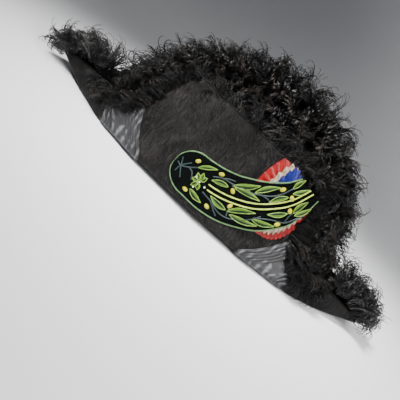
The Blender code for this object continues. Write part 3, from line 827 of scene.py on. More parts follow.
def disc_surface(disc):
    """The forming of one pleated disc: u goes round and v goes from the middle to the rim."""
    def shape(u, v):
        phase = np.mod(u * disc["pleats"], 1.0)
        fold = np.where(phase < FOLD_CREST, phase / FOLD_CREST, (1 - phase) / (1 - FOLD_CREST))
        turn = 2 * math.pi * u
        side, rise = np.cos(turn), np.sin(turn)
        full = np.where(rise < 0, disc["full"], 1.0)
        tall = np.where(rise > 0, disc["up"], disc["down"])
        rim_x = COCKADE_WIDTH / 2 * disc["across"] * np.sign(side) * np.abs(side) ** full
        rim_z = COCKADE_HEIGHT / 2 * tall * np.sign(rise) * np.abs(rise) ** full
        middle = np.array([COCKADE_X + disc["shift"], COCKADE_Z])
        room = COCKADE_ROOM / np.maximum(rim_z, COCKADE_ROOM)
        past = rim_x * CORNER_SLOPE[0] + rim_z * CORNER_SLOPE[1]
        corner = (COCKADE_CORNER - middle) @ CORNER_SLOPE
        share = (DISC_EYE + (1 - DISC_EYE) * v) * (1 + disc["points"] * (2 * fold - 1) * v)
        share = share * np.minimum(room, corner / np.maximum(past, corner))
        lift = disc["lift"] + FOLD_DEPTH * fold * blend_between(0.0, 0.35, v)
        return flap_point(-1, middle[0] + rim_x * share, middle[1] + rim_z * share, lift)
    return shape


cockade = {}
for row in COCKADE_DISCS:
    disc = dict(zip(DISC_NAMES, row))
    name = "cockade_" + disc["colour"]
    columns = disc["pleats"] * STEPS_IN_PLEAT
    cockade[name] = form_sheet(name + "_pleats", columns, DISC_RINGS, disc_surface(disc))
    thicken(cockade[name], DISC_THICKNESS)
    finish_piece(cockade[name], name, name, angle=30.0)


# %% [markdown]
# ## The cockade's finish
# The three ribbons are satin of one weave in three colours, so one loop makes them all.
# Noise that is stretched along each pleat gives streaks of painted shade and painted sheen
# between each colour's shade and light, and a fine wave across it the ribs of the ribbon. The
# layout of the grid carries both.

# %% Finish the cockade
# Each colour is a pair, a painted shade and a painted sheen, and the satin's streaks run between them.
SATIN_SHADE_AND_SHEEN = {
    "cockade_red": ((0.060, 0.0002, 0.0002), (0.25, 0.0006, 0.0004)),
    "cockade_white": ((0.06, 0.040, 0.022), (0.42, 0.35, 0.24)),
    "cockade_blue": ((0.0003, 0.0010, 0.018), (0.0010, 0.007, 0.15)),
}

for name, (shade, light) in SATIN_SHADE_AND_SHEEN.items():
    satin, shader = start_finish("satin_" + name, 0.5, 0.35)
    # These streaks are painted shade and painted sheen along the pleats.
    flow = noise(satin, place_pattern(satin, (90, 6, 1), source="UV"), 1.0, 3.0, 0.4)
    set_colour(satin, shader, ramp(satin, flow, (0.25, shade), (0.60, light)))
    ribs = waves(satin, place_pattern(satin, source="UV"), 26.0, "Y", distortion=0.6)
    set_bump(satin, shader, ribs, 0.00012)
    dress(satin, cockade[name])


# %% [markdown]
# ## The loop band
# The velvet loop starts as a round end low on the flap, widens into a broad curved band and
# climbs over the cockade. Its centre line and width are one more small table. A curve with
# an array of stitches on it would bend each stitch, so a place on the band is given by how
# far along it lies, how far across, and how high above the velvet, and the cords and the
# stitches are drawn flat and laid on the curved band afterwards.

# %% Form the loop band
LOOP_LENGTH = 0.1255
LOOP_RISE = 0.070
LOOP_WIDTH = 0.0515
LOOP_START_X = -0.0415
LOOP_START_Z = 0.037
LOOP_THICKNESS = 0.0018
LOOP_COVER = 0.0060
LOOP_GAP = 0.0006
LOOP_TUCK = 0.30
TUCK_START = 0.88
LOOP_CLIMB = (-1.38, -0.84)
LOOP_CLEARANCE = 0.0002
LOOP_SECTIONS = (
    (0.00, 0.000, 0.87),
    (0.20, 0.020, 0.87),
    (0.38, 0.046, 0.94),
    (0.55, 0.115, 0.99),
    (0.72, 0.270, 1.00),
    (0.86, 0.490, 0.90),
    (0.95, 0.720, 0.78),
    (1.00, 1.000, 0.60),
)
BLUNT_SHARE = 0.211
BLUNT_COLUMNS = 0.25
loop_rise = smooth_curve(LOOP_SECTIONS, 1)
loop_width = smooth_curve(LOOP_SECTIONS, 2)


def on_loop(x, z, height):
    """Points over the flap at x and z, on the band's top and height above it."""
    across = (x - COCKADE_X) / (COCKADE_WIDTH / 2)
    up = (z - COCKADE_Z) / (COCKADE_HEIGHT / 2)
    cover = LOOP_COVER * blend_between(*LOOP_CLIMB, -np.hypot(across, up))
    return flap_point(-1, x, z, LOOP_GAP + cover + LOOP_THICKNESS + height)


def loop_flat(share, across, beyond=0.0):
    """x and z of a place on the loop: across runs from -1, its lower edge, to 1."""
    before, after = np.clip(share - 0.01, 0, 1), np.clip(share + 0.01, 0, 1)
    run_x = LOOP_LENGTH * (after - before)
    run_z = LOOP_RISE * (loop_rise(after) - loop_rise(before))
    length = np.hypot(run_x, run_z)
    reach = LOOP_WIDTH / 2
    from_end = np.minimum(share * LOOP_LENGTH, reach)
    rounded = np.sqrt(np.maximum(1 - ((reach - from_end) / reach) ** 2, 0))
    tucked = 1 - np.where(across < 0, LOOP_TUCK * blend_between(TUCK_START, 1.0, share), 0.0)
    width = reach * loop_width(share) * rounded * tucked + beyond
    middle_x = LOOP_START_X + LOOP_LENGTH * (after + before) / 2
    middle_z = LOOP_START_Z + LOOP_RISE * (loop_rise(after) + loop_rise(before)) / 2
    return middle_x - run_z / length * across * width, middle_z + run_x / length * across * width


def band_surface(u, v):
    """The forming of the band: u along it, closer together round the blunt end, v across."""
    blunt = BLUNT_SHARE * (1 - np.cos(math.pi / 2 * u / BLUNT_COLUMNS))
    rest = BLUNT_SHARE + (1 - BLUNT_SHARE) * (u - BLUNT_COLUMNS) / (1 - BLUNT_COLUMNS)
    x, z = loop_flat(np.where(u < BLUNT_COLUMNS, blunt, rest), 2 * v - 1)
    return on_loop(x, z, 0.0)


band = form_sheet("velvet_band", 90, 24, band_surface)
thicken(band, LOOP_THICKNESS - LOOP_CLEARANCE, sample=-1)
finish_piece(band, "velvet", "loop_band", angle=50.0)
dress(fibre_finish("loop_velvet", (0.0004, 0.0006, 0.0006), (0.0010, 0.0018, 0.0014), 0.9, 0.04,
                   cloud=90.0, fibres=2400.0, depth=0.0003, distortion=0.6), band)


# %% [markdown]
# ## Twisted cords
# The piping round the band and the two cords on it are two plies twisted round each other.
# A twist could be only a bump on a round cord, but its edge would stay smooth. So each ply
# is a curve along a helix round the cord's own path, with a round bevel, and it is turned
# into a mesh when its shape is right.

# %% Helpers for cords
PLIES = 2
PLY_OFFSET = 0.5
PLY_RADIUS = 0.56
POINTS_IN_TURN = 6


def round_threads(name, lines, radius, resolution, closed=False):
    """Round threads along lines of points, as one mesh."""
    curve = bpy.data.curves.new(name, "CURVE")
    curve.dimensions = "3D"
    curve.bevel_depth = radius
    curve.bevel_resolution = resolution
    curve.use_fill_caps = True
    for line in lines:
        spline = curve.splines.new("POLY")
        spline.use_cyclic_u = closed
        spline.points.add(len(line) - 1)
        spline.points.foreach_set("co", np.column_stack([line, np.ones(len(line))]).ravel())
    threads = bpy.data.objects.new(name, curve)
    bpy.context.collection.objects.link(threads)
    focus(threads)
    bpy.ops.object.convert(target="MESH")
    return bpy.context.object


def twisted_cord(name, points, radius, pitch):
    """A cord of twisted plies along a path, with a few points in each turn."""
    steps = np.linalg.norm(np.diff(points, axis=0), axis=1)
    lengths = np.concatenate(([0.0], np.cumsum(steps)))
    along = np.linspace(0.0, lengths[-1], int(lengths[-1] / (pitch / POINTS_IN_TURN)) + 1)
    path = np.stack([np.interp(along, lengths, points[:, i]) for i in range(3)], axis=-1)
    print(f"{name}: {along[-1] * 1000:.0f} mm long, {2000 * radius:.1f} mm thick")
    ahead = unit(np.gradient(path, axis=0))
    out = unit(np.cross(ahead, np.array([0.0, 1.0, 0.0])))
    side = np.cross(ahead, out)
    lines = []
    for ply in range(PLIES):
        turn = (2 * math.pi * (along / pitch + ply / PLIES))[:, None]
        lines.append(path + (out * np.cos(turn) + side * np.sin(turn)) * radius * PLY_OFFSET)
    return round_threads(name, lines, radius * PLY_RADIUS, 2)


# %% Lay the piping
BORDER_RADIUS = 0.0009
BORDER_PITCH = 0.0042
BORDER_POINTS = 220
BORDER_BEYOND = 1.15
BORDER_SUNK = 0.3
BORDER_BASE = 0.0006

lower = np.linspace(1.0, 0.0, BORDER_POINTS) ** 1.5
round_edge = np.concatenate([lower, lower[::-1][1:]])
edge_side = np.where(np.arange(len(round_edge)) < BORDER_POINTS, -1.0, 1.0)
edge_x, edge_z = loop_flat(round_edge, edge_side, BORDER_RADIUS * BORDER_BEYOND)
edge_points = on_loop(edge_x, edge_z, BORDER_RADIUS * BORDER_SUNK - LOOP_THICKNESS + BORDER_BASE)
border_cord = twisted_cord("border_piping", edge_points, BORDER_RADIUS, BORDER_PITCH)
finish_piece(border_cord, "border_cord", "loop_border_cord", angle=60.0)
dress(fibre_finish("piping_thread", (0.040, 0.090, 0.030), (0.105, 0.185, 0.075), 0.5, 0.35), border_cord)


# %% Lay the centre cords
CENTRE_RADIUS = 0.0008
CENTRE_PITCH = 0.0034
CENTRE_SPACING = 0.0055
CENTRE_STARTS = {"lower": (-1, 0.37), "upper": (1, 0.355)}

centre_silk = fibre_finish("centre_cord_thread", (0.26, 0.33, 0.025), (0.46, 0.55, 0.085), 0.5, 0.35)
for name, (side, start) in CENTRE_STARTS.items():
    share = np.linspace(start, 1.0, 120)
    offset = side * CENTRE_SPACING / 2 / (LOOP_WIDTH / 2 * loop_width(share))
    points = on_loop(*loop_flat(share, offset), CENTRE_RADIUS)
    cord = twisted_cord(f"centre_cord_{name}_twist", points, CENTRE_RADIUS, CENTRE_PITCH)
    finish_piece(cord, "centre_cord", "loop_centre_cord_" + name, angle=60.0)
    dress(centre_silk, cord)


# %% [markdown]
# ## The embroidered leaves
# Olive sprigs are worked on the velvet in silk. A leaf is padded satin stitch, with painted
# shade on one half and a painted highlight on the other. A picture of the stitches would look
# flat from the side, so one leaf is modelled, as a domed sheet with a groove along its middle
# and a ridge for each stitch.
# Each copy is stretched from its foot to its tip, in millimetres on the flap, and then laid
# on the curved band.

# %% Draw one leaf
MILLIMETRE = 0.001
LEAVES = (
    ((-16.8, 47.9), (-0.4, 60.0), 4.4), ((22.3, 58.8), (42.0, 77.2), 6.4), ((24.9, 57.8), (51.6, 64.8), 6.2),
    ((19.0, 54.2), (2.2, 47.9), 5.8), ((42.7, 68.5), (57.4, 88.9), 6.0), ((69.9, 86.4), (59.3, 70.1), 5.6),
    ((80.3, 72.5), (66.6, 59.3), 6.0), ((58.5, 45.2), (79.8, 53.7), 6.4), ((35.4, 34.3), (56.9, 52.4), 6.2),
    ((39.8, 33.1), (66.8, 43.1), 6.4), ((33.1, 34.0), (12.2, 35.0), 6.4), ((-8.4, 25.8), (9.2, 22.5), 6.0),
    ((67.4, 96.1), (70.5, 110.7), 4.8), ((70.7, 92.3), (79.6, 105.5), 5.0), ((84.3, 76.7), (87.1, 94.9), 5.4),
    ((86.6, 75.4), (94.7, 90.8), 5.6),
)
ROSETTE_CENTRE = (-6.0, 37.6)
ROSETTE_EYE = 1.8
ROSETTE_LEAVES = ((66, 9.2), (104, 10.4), (140, 9.6), (191, 8.8), (240, 9.6), (296, 8.4))
ROSETTE_LEAF_WIDTH = 4.4
LEAF_SLIMNESS = 0.88
LEAF_EDGE = 0.8
LEAF_BOW = 0.05
LEAF_HEIGHT = 0.0010
LEAF_THICKNESS = 0.25
STITCHES = 20
STITCH_RELIEF = 0.10
GROOVE_WIDTH = 0.16
GROOVE_DEPTH = 0.75
HALF_BLEND = 0.12


def leaf_width(along):
    """Half width of a leaf along its length, as a share of its widest."""
    return np.sin(math.pi * np.clip(along, 0, 1) ** 0.85) ** 0.95


def leaf_dome(u, v):
    """The flat leaf: x along it from 0 to 1, y across from -1 to 1, z its relief."""
    across = 2 * v - 1
    dome = np.sqrt(np.maximum(1 - across ** 2, 0)) * np.clip(leaf_width(u) * 1.4, 0, 1)
    groove = 1 - GROOVE_DEPTH * np.exp(-(across / GROOVE_WIDTH) ** 2)
    stitch = 1 + STITCH_RELIEF * np.sin(2 * math.pi * (u * STITCHES - np.abs(across) * 1.5))
    return np.stack([u, across * leaf_width(u), dome * groove * stitch], axis=-1)


# %% Helpers for copies on the band
def stretch(foot, tip, width, bow, along, across):
    """Flat places in metres, along and across a bowed line between two points in mm."""
    foot, tip = np.array(foot) * MILLIMETRE, np.array(tip) * MILLIMETRE
    length = np.hypot(*(tip - foot))
    ahead = (tip - foot) / length
    side = np.array([-ahead[1], ahead[0]])
    away = across * width / 2 * MILLIMETRE + bow * length * np.sin(math.pi * np.clip(along, 0, 1))
    return foot + ahead * (along * length)[:, None] + side * away[:, None]


def lay_copy(pattern, name, foot, tip, width, height, bow=0.0, sunk=0.0):
    """A copy of a flat pattern, stretched from foot to tip and laid on the band."""
    copy = bpy.data.objects.new(name, pattern.data.copy())
    bpy.context.collection.objects.link(copy)
    points = get_points(pattern)
    flat = stretch(foot, tip, width, bow, points[:, 0], points[:, 1])
    set_points(copy, on_loop(flat[:, 0], flat[:, 1], points[:, 2] * height - sunk))
    # The tone splits each copy along its middle. On the leaves it places painted shade on one half and a
    # painted highlight on the other.
    tone = copy.data.attributes.new("tone", "FLOAT", "POINT")
    tone.data.foreach_set("value", blend_between(-HALF_BLEND, HALF_BLEND, points[:, 1]))
    return copy


def join_pieces(pieces, name):
    """Join copies into one object, with its faces out."""
    focus(pieces[0])
    for piece in pieces[1:]:
        piece.select_set(True)
    bpy.ops.object.join()
    joined = bpy.context.object
    joined.name = joined.data.name = name
    edit_all(joined, face_outwards)
    return joined


# %% Lay the leaves
leaf_pattern = form_sheet("leaf_pattern", 60, 8, leaf_dome, measured=False)
edit_all(leaf_pattern, close_seam)
apply_modifier(leaf_pattern, "SOLIDIFY", thickness=LEAF_THICKNESS, offset=-1.0)
leaf_places = [(foot, tip, LEAF_SLIMNESS * width) for foot, tip, width in LEAVES]
for angle, length in ROSETTE_LEAVES:
    heading = np.array([math.cos(math.radians(angle)), math.sin(math.radians(angle))])
    foot, tip = (ROSETTE_CENTRE + reach * heading for reach in (ROSETTE_EYE, length))
    leaf_places.append((foot, tip, ROSETTE_LEAF_WIDTH))
leaf_bows = [LEAF_BOW * (-1) ** index for index in range(len(leaf_places))]
leaves = join_pieces([
    lay_copy(leaf_pattern, "leaf", foot, tip, width - LEAF_EDGE, LEAF_HEIGHT, bow)
    for (foot, tip, width), bow in zip(leaf_places, leaf_bows)], "satin_leaves")
finish_piece(leaves, None, angle=60.0)
print("leaves:", len(leaf_places))


# %% [markdown]
# ## Leaf edges and stems
# A thin cord is couched round each leaf, and the slate stems are couched threads too. They
# could be part of the leaf's own mesh, but as bevelled curves they stay round. Only their
# flat lines differ: a leaf's outline, or a smooth line through a few places.

# %% Couch the leaf edges and the stems
EDGE_RADIUS = 0.00042
OUTLINE_POINTS = 64
STEM_RADIUS = 0.00070
STEM_HEIGHT = 0.0002
STEMS = (
    ((0.6, 51.6), (9.0, 57.0), (20.1, 59.4), (35.0, 64.5), (42.6, 66.8), (56.4, 76.1), (63.4, 85.8),
     (66.1, 93.3), (68.4, 98.0)),
    ((9.0, 57.0), (14.0, 60.5), (21.0, 63.5)),
    ((20.1, 59.4), (25.0, 55.5)),
    ((50.0, 71.0), (57.0, 71.5), (60.5, 69.0)),
    ((2.9, 32.3), (16.1, 30.7), (29.3, 27.1), (41.1, 29.0), (51.0, 36.2), (57.7, 44.4), (63.3, 53.5)),
    ((16.1, 30.7), (24.0, 25.5), (30.0, 22.5)),
    ((38.0, 29.5), (36.0, 34.5), (34.5, 39.5)),
    ((58.5, 47.0), (72.9, 57.3), (84.6, 63.1), (89.7, 72.7), (94.2, 80.7)),
    ((84.6, 63.1), (83.5, 70.0), (84.0, 76.0)),
    ((-36.3, 44.7), (-31.0, 35.0), (-24.5, 26.8)),
    ((-33.4, 28.5), (-32.2, 36.6), (-25.3, 46.5)),
    ((-37.6, 37.5), (-32.2, 36.6), (-24.0, 41.5), (-16.8, 47.9)),
    ((-24.0, 41.5), (-18.5, 39.5), (-14.0, 33.5)),
)


def smooth_line(points, count=12):
    """A smooth line through a few places, in metres."""
    points = np.array(points) * MILLIMETRE
    padded = np.vstack([2 * points[0] - points[1], points, 2 * points[-1] - points[-2]])
    line = []
    for i in range(1, len(padded) - 2):
        a, b, c, d = padded[i - 1:i + 3]
        for t in np.arange(count) / count:
            line.append(0.5 * (2 * b + (c - a) * t + (2 * a - 5 * b + 4 * c - d) * t ** 2
                               + (3 * b - a - 3 * c + d) * t ** 3))
    return np.array(line + [points[-1]])


def couched_threads(name, lines, radius, height, closed=False):
    """Round threads along flat lines, laid on the band."""
    lengths = [np.linalg.norm(np.diff(line, axis=0), axis=1).sum() * 1000 for line in lines]
    print(f"{name}: {len(lines)} threads of {min(lengths):.0f} to {max(lengths):.0f} mm")
    laid = [on_loop(line[:, 0], line[:, 1], height) for line in lines]
    return round_threads(name, laid, radius, 1, closed)


turn = np.linspace(0, 2 * math.pi, OUTLINE_POINTS + 1)[:-1]
along = (1 - np.cos(turn)) / 2
across = np.where(np.arange(OUTLINE_POINTS) < OUTLINE_POINTS // 2, 1.0, -1.0) * leaf_width(along)
outlines = [stretch(foot, tip, width, bow, along, across)
            for (foot, tip, width), bow in zip(leaf_places, leaf_bows)]
leaf_edges = couched_threads("leaf_edge_threads", outlines, EDGE_RADIUS, EDGE_RADIUS, closed=True)
stems = couched_threads("slate_stems", [smooth_line(stem) for stem in STEMS], STEM_RADIUS, STEM_HEIGHT)
for threads in (leaf_edges, stems):
    finish_piece(threads, None, angle=70.0)


# %% [markdown]
# ## Olives and pearls
# The olives are padded with cotton and stitched over from end to end, and round pearls sit
# in the rosette. Both are a ball with a swell for each stitch, and the same copying as the
# leaves' lays them on the band: a ball that is only as wide and as high as its place asks.

# %% Sew on the olives and the pearls
OLIVES = ((-21.4, 52.4, 45), (5.6, 59.3, 22), (25.5, 54.0, 143), (60.4, 89.1, 63), (73.2, 87.7, 130),
          (80.6, 76.2, 118), (80.7, 57.5, 52), (34.0, 40.4, 73), (16.6, 23.9, -17), (-12.2, 21.8, 0))
OLIVE_LENGTH = 6.3
OLIVE_WIDTH = 4.3
OLIVE_HEIGHT = 0.0021
PEARLS = ((-12.0, 39.6), (-7.5, 29.6), (1.6, 37.2), (-6.0, 37.6))
PEARL_SIZE = 2.0
PEARL_LIFT = 0.0008


def ball_pattern(name, rings, ridges, relief):
    """A ball at x from 0 to 1, y from -1 to 1 and z to 1, with stitches from end to end."""
    ball = start_piece(name, bpy.ops.mesh.primitive_uv_sphere_add,
                       segments=4 * ridges, ring_count=rings, radius=1.0)
    edit_all(ball, lambda: bpy.ops.transform.rotate(
        value=math.pi / 2, orient_axis="Y", center_override=(0, 0, 0)))
    points = get_points(ball)
    swell = 1 + relief * np.sin(np.arctan2(points[:, 2], points[:, 1]) * ridges)
    points[:, 1:] *= swell[:, None]
    points[:, 0] = (points[:, 0] + 1) / 2
    set_points(ball, points)
    return ball


def around(place, angle, length):
    """The two ends of a line of a length round a place."""
    half = length / 2 * np.array([math.cos(math.radians(angle)), math.sin(math.radians(angle))])
    return np.array(place[:2]) - half, np.array(place[:2]) + half


olive_pattern = ball_pattern("olive_pattern", 12, 8, 0.05)
pearl_pattern = ball_pattern("pearl_pattern", 10, 4, 0.0)
olives = join_pieces([
    lay_copy(olive_pattern, "olive", *around(olive, olive[2], OLIVE_LENGTH), OLIVE_WIDTH, OLIVE_HEIGHT)
    for olive in OLIVES], "padded_olives")
pearls = join_pieces([
    lay_copy(pearl_pattern, "pearl", *around(pearl, 0, PEARL_SIZE), PEARL_SIZE,
             PEARL_SIZE / 2 * MILLIMETRE, sunk=-PEARL_LIFT)
    for pearl in PEARLS], "rosette_pearls")
for balls in (olives, pearls):
    finish_piece(balls, None, angle=60.0)
for pattern in (leaf_pattern, olive_pattern, pearl_pattern):
    bpy.data.objects.remove(pattern)


# %% [markdown]
# ## The embroidery's finish
# The leaves read the tone that their copies carry: painted shade on one half and a painted
# highlight on the other.
# It could be two materials, but then the halves would meet in a hard line. All the other
# threads are the same spun silk in their own colours.

# %% Finish the embroidery
# A leaf's darkest colour is painted shade, and its lightest is a painted highlight.
LEAF_SHADE = (0.001, 0.006, 0.002)
LEAF_MIDDLE = (0.003, 0.015, 0.003)
LEAF_HIGHLIGHT = (0.052, 0.110, 0.005)
SPUN_SILKS = (
    ("leaf_edge_silk", leaf_edges, (0.06, 0.13, 0.012), (0.18, 0.29, 0.032), 0.42),
    ("stem_silk", stems, (0.003, 0.010, 0.011), (0.012, 0.026, 0.029), 0.42),
    ("olive_silk", olives, (0.22, 0.21, 0.001), (0.40, 0.38, 0.002), 0.38),
    ("pearl_silk", pearls, (0.42, 0.46, 0.26), (0.66, 0.70, 0.44), 0.30),
)

leaf_silk, shader = start_finish("leaf_silk", 0.50, 0.16)
floss = noise(leaf_silk, place_pattern(leaf_silk), 1800.0)
shade = mixture(leaf_silk, own_tone(leaf_silk), floss, 0.75)
leaf_stops = ((0.05, LEAF_SHADE), (0.48, LEAF_MIDDLE), (0.85, LEAF_HIGHLIGHT))
set_colour(leaf_silk, shader, ramp(leaf_silk, shade, *leaf_stops))
set_bump(leaf_silk, shader, floss, 0.0001)
dress(leaf_silk, leaves)
for name, piece, dark, light, roughness in SPUN_SILKS:
    dress(fibre_finish(name, dark, light, roughness, 0.35), piece)


# %% [markdown]
# ## Ostrich feather
# Ostrich feather is cut into trim and its soft barbs are curled over a blunt blade, so each
# barb stands up from the edge and ends in a hook. A hair system would be quick, but it
# leaves no mesh. Here a barb is a tapering three-sided tube, and arrays work
# out thousands of them at once. They grow in clumps: a clump has one heading and one way to
# curl, and its barbs stray a little from both, which gives curls with a soft fuzz.

# %% Helpers for feathers
BARB_STEPS = 8
BARB_FLOOR = 0.0010
BARB_TAPER = 0.55
STRAY = 0.07
chance = np.random.default_rng(7)


def turn_about(vectors, axes, angles):
    """Turn vectors about unit axes, each by its own angle."""
    cos = np.cos(angles)[:, None]
    sin = np.sin(angles)[:, None]
    along = (vectors * axes).sum(axis=1, keepdims=True)
    return vectors * cos + np.cross(axes, vectors) * sin + axes * along * (1 - cos)


def barb_rings(roots, headings, axes, curls, lengths, widths, steps):
    """Three points at each step of every barb, and its end. It bends most near that end."""
    strides = np.linspace(1.7, 0.5, steps) if steps > 3 else np.ones(steps)
    strides /= strides.sum()
    bends = np.cumsum(strides) ** 1.7
    bends /= bends.sum()
    headings = unit(headings)
    axes = unit(axes - headings * (axes * headings).sum(axis=1, keepdims=True))
    points = roots.copy()
    rings = []
    for step in range(steps):
        thin = (widths / 2 * (1 - BARB_TAPER * step / steps))[:, None]
        across = np.cross(headings, axes)
        for turn in 2 * math.pi / 3 * np.arange(3):
            rings.append(points + (axes * math.cos(turn) + across * math.sin(turn)) * thin)
        headings = turn_about(headings, axes, curls * bends[step])
        points = points + headings * (lengths * strides[step])[:, None]
    return np.stack(rings + [points], axis=1)


# %% Make a mesh of barbs
def barb_mesh(name, roots, headings, axes, curls, lengths, widths, tones, steps=BARB_STEPS):
    """One mesh of many barbs, without those that would dip below the floor."""
    barbs = barb_rings(roots, headings, axes, curls, lengths, widths, steps)
    kept = barbs[:, :, 2].min(axis=1) > BARB_FLOOR
    barbs, tones = barbs[kept], tones[kept]
    ring = [(corner, (corner + 1) % 3) for corner in range(3)]
    last = 3 * (steps - 1)
    quads = [(3 * step + a, 3 * step + b, 3 * step + 3 + b, 3 * step + 3 + a)
             for step in range(steps - 1) for a, b in ring]
    triangles = [(0, 2, 1)] + [(last + a, last + b, last + 3) for a, b in ring]
    starts = np.arange(len(barbs))[:, None, None] * (3 * steps + 1)
    corners = [(starts + np.array(faces)).reshape(-1) for faces in (quads, triangles)]
    face_starts = np.concatenate([np.arange(0, len(corners[0]), 4),
                                  len(corners[0]) + np.arange(0, len(corners[1]), 3)])

    mesh = bpy.data.meshes.new(name)
    mesh.vertices.add(barbs.shape[0] * barbs.shape[1])
    mesh.vertices.foreach_set("co", barbs.ravel())
    mesh.loops.add(len(corners[0]) + len(corners[1]))
    mesh.loops.foreach_set("vertex_index", np.concatenate(corners))
    mesh.polygons.add(len(face_starts))
    mesh.polygons.foreach_set("loop_start", face_starts)
    mesh.update(calc_edges=True)
    mesh.validate()
    tone = mesh.attributes.new("tone", "FLOAT", "POINT")
    tone.data.foreach_set("value", np.repeat(tones, barbs.shape[1]))
    piece = bpy.data.objects.new(name, mesh)
    bpy.context.collection.objects.link(piece)
    return piece


# %% Gather barbs into clumps
def scatter(values, count, amount):
    """Repeat each clump's vector for its barbs, each strayed by a random amount."""
    repeated = np.repeat(values, count, axis=0)
    return repeated + chance.normal(0.0, amount, repeated.shape)


def clump_table(roots, headings, targets, curl, length, tone, longer=1.0):
    """What a clump's barbs share. Curl and length are ranges, tone is a mean and a spread."""
    return {
        "roots": roots, "headings": headings, "targets": targets,
        "curls": chance.uniform(*curl, len(roots)),
        "lengths": chance.uniform(*length, len(roots)) * longer,
        "tones": np.clip(chance.normal(*tone, len(roots)), 0, 1),
    }


def clumped_barbs(name, clumps, width, spread, per_clump=6):
    """The barbs of clumps, each rooted within a spread of its clump."""
    roots = scatter(clumps["roots"], per_clump, spread)
    headings = scatter(unit(clumps["headings"]), per_clump, STRAY)
    targets = scatter(unit(clumps["targets"]), per_clump, STRAY)
    total = len(roots)
    curls = np.repeat(clumps["curls"], per_clump) * chance.uniform(0.88, 1.12, total)
    lengths = np.repeat(clumps["lengths"], per_clump) * chance.uniform(0.75, 1.1, total)
    tones = np.repeat(clumps["tones"], per_clump) + chance.normal(0.0, 0.12, total)
    widths = width * chance.uniform(0.75, 1.2, total)
    axes = np.cross(headings, targets)
    return barb_mesh(name, roots, headings, axes, curls, lengths, widths, np.clip(tones, 0, 1))


# %% [markdown]
# ## The long nap
# The near flap is covered in a long plush nap that lies in one direction, like brushed
# fur. A finish alone would stay flat at the edges, so short stiff fibres, the same kind of
# tube as a barb, grow out of it. None grows where the loop, the cockade or a ribbon covers
# the felt.

# %% Lay the nap
NAP_FIBRES = 7600
NAP_LENGTH = 0.0085
NAP_WIDTH = 0.00034
NAP_EDGE = 0.112
NAP_FLOW = math.radians(-50)
NAP_LIFT = (8, 24)
NAP_MARGIN = 0.001
NAP_STEP = 0.002
NAP_ROOT = 0.0004
NAP_FLOOR = 0.004
RIBBON_FACE = 0.060


def clear_of_loop(x, z):
    """Whether places on the near flap lie free of the loop band and the cockade."""
    share = np.linspace(0.0, 1.0, 120)
    middle_x, middle_z = loop_flat(share, 0.0)
    upper_x, upper_z = loop_flat(share, 1.0)
    reach = np.hypot(upper_x - middle_x, upper_z - middle_z) + NAP_MARGIN
    apart = np.hypot(x[:, None] - middle_x, z[:, None] - middle_z)
    across = (x - COCKADE_X) / (COCKADE_WIDTH / 2 + NAP_MARGIN)
    up = (z - COCKADE_Z) / (COCKADE_HEIGHT / 2 + NAP_MARGIN)
    return (apart > reach).all(axis=1) & (np.hypot(across, up) > 1)


def nap_places(count):
    """Roots and headings of the fibres, swaying a little from place to place."""
    x = chance.uniform(-NAP_EDGE, NAP_EDGE, count)
    z = chance.uniform(0.009, 1.0, count) * flap_top(-1, x)
    sway = 0.5 * np.sin(x * 61 + z * 37 + 1.0) + 0.35 * np.sin(x * 113 - z * 91)
    flow = NAP_FLOW + (sway + chance.normal(0, 0.22, count))
    lift = np.tan(np.radians(chance.uniform(*NAP_LIFT, count)))
    end_x, end_z = x + NAP_LENGTH * np.cos(flow), z + NAP_LENGTH * np.sin(flow)
    ribbon_edge = RIBBON_SOLE[0] + (RIBBON_TOP[0] - RIBBON_SOLE[0]) * z / RIBBON_FACE - NAP_MARGIN
    free = clear_of_loop(x, z) & clear_of_loop(end_x, end_z) & (end_z > NAP_FLOOR)
    free &= (np.abs(x) < ribbon_edge) & (np.abs(end_x) < ribbon_edge)
    x, z, flow, lift = x[free], z[free], flow[free], lift[free]
    next_x, next_z = x + np.cos(flow) * NAP_STEP, z + np.sin(flow) * NAP_STEP
    ahead = flap_point(-1, next_x, next_z, 0.0) - flap_point(-1, x, z, 0.0)
    return flap_point(-1, x, z, -NAP_ROOT), unit(ahead) + flap_normal(-1, x, z) * lift[:, None]


nap_roots, nap_headings = nap_places(NAP_FIBRES)
total = len(nap_roots)
nap = barb_mesh("nap_fibres", nap_roots, nap_headings, nap_headings + chance.normal(0, 0.5, (total, 3)),
                chance.normal(0, 0.5, total), NAP_LENGTH * chance.uniform(0.7, 1.2, total),
                np.full(total, NAP_WIDTH), chance.uniform(0, 1, total), steps=3)
finish_piece(nap, "felt", angle=180.0)

nap_finish, shader = start_finish("nap_fibre", 0.55, 0.16)
set_colour(nap_finish, shader, ramp(nap_finish, own_tone(nap_finish), (0.1, NAP_DARK), (0.9, NAP_LIGHT)))
dress(nap_finish, nap)


# %% [markdown]
# ## Feather along the edges
# Three bands of clumps cover the crests: one on the far flap's edge, one down its inside,
# and one on the near flap's edge. A clump's heading starts from a fan in the flap's plane,
# as the real trim stands on the edge that it is sewn to, and then leans towards the viewer
# or away. Over the middle of the near flap they lean away, so that its face stays bare.

# %% Grow the crests
CREST_ENDS = (-0.168, 0.164)
CREST_LIFT = 0.001
CREST_TONE_SPREAD = 0.22
FAN_CENTRE = 0.35
BARE_FACE = (0.074, 0.090)
BARE_LEAN = 0.55
BARE_CURL = 1.6
BEHIND_NEAR = 0.012
LEAST_DEPTH = 0.008
SHOULDER = {"x": -0.085, "wide": 0.055, "shorter": 0.30}
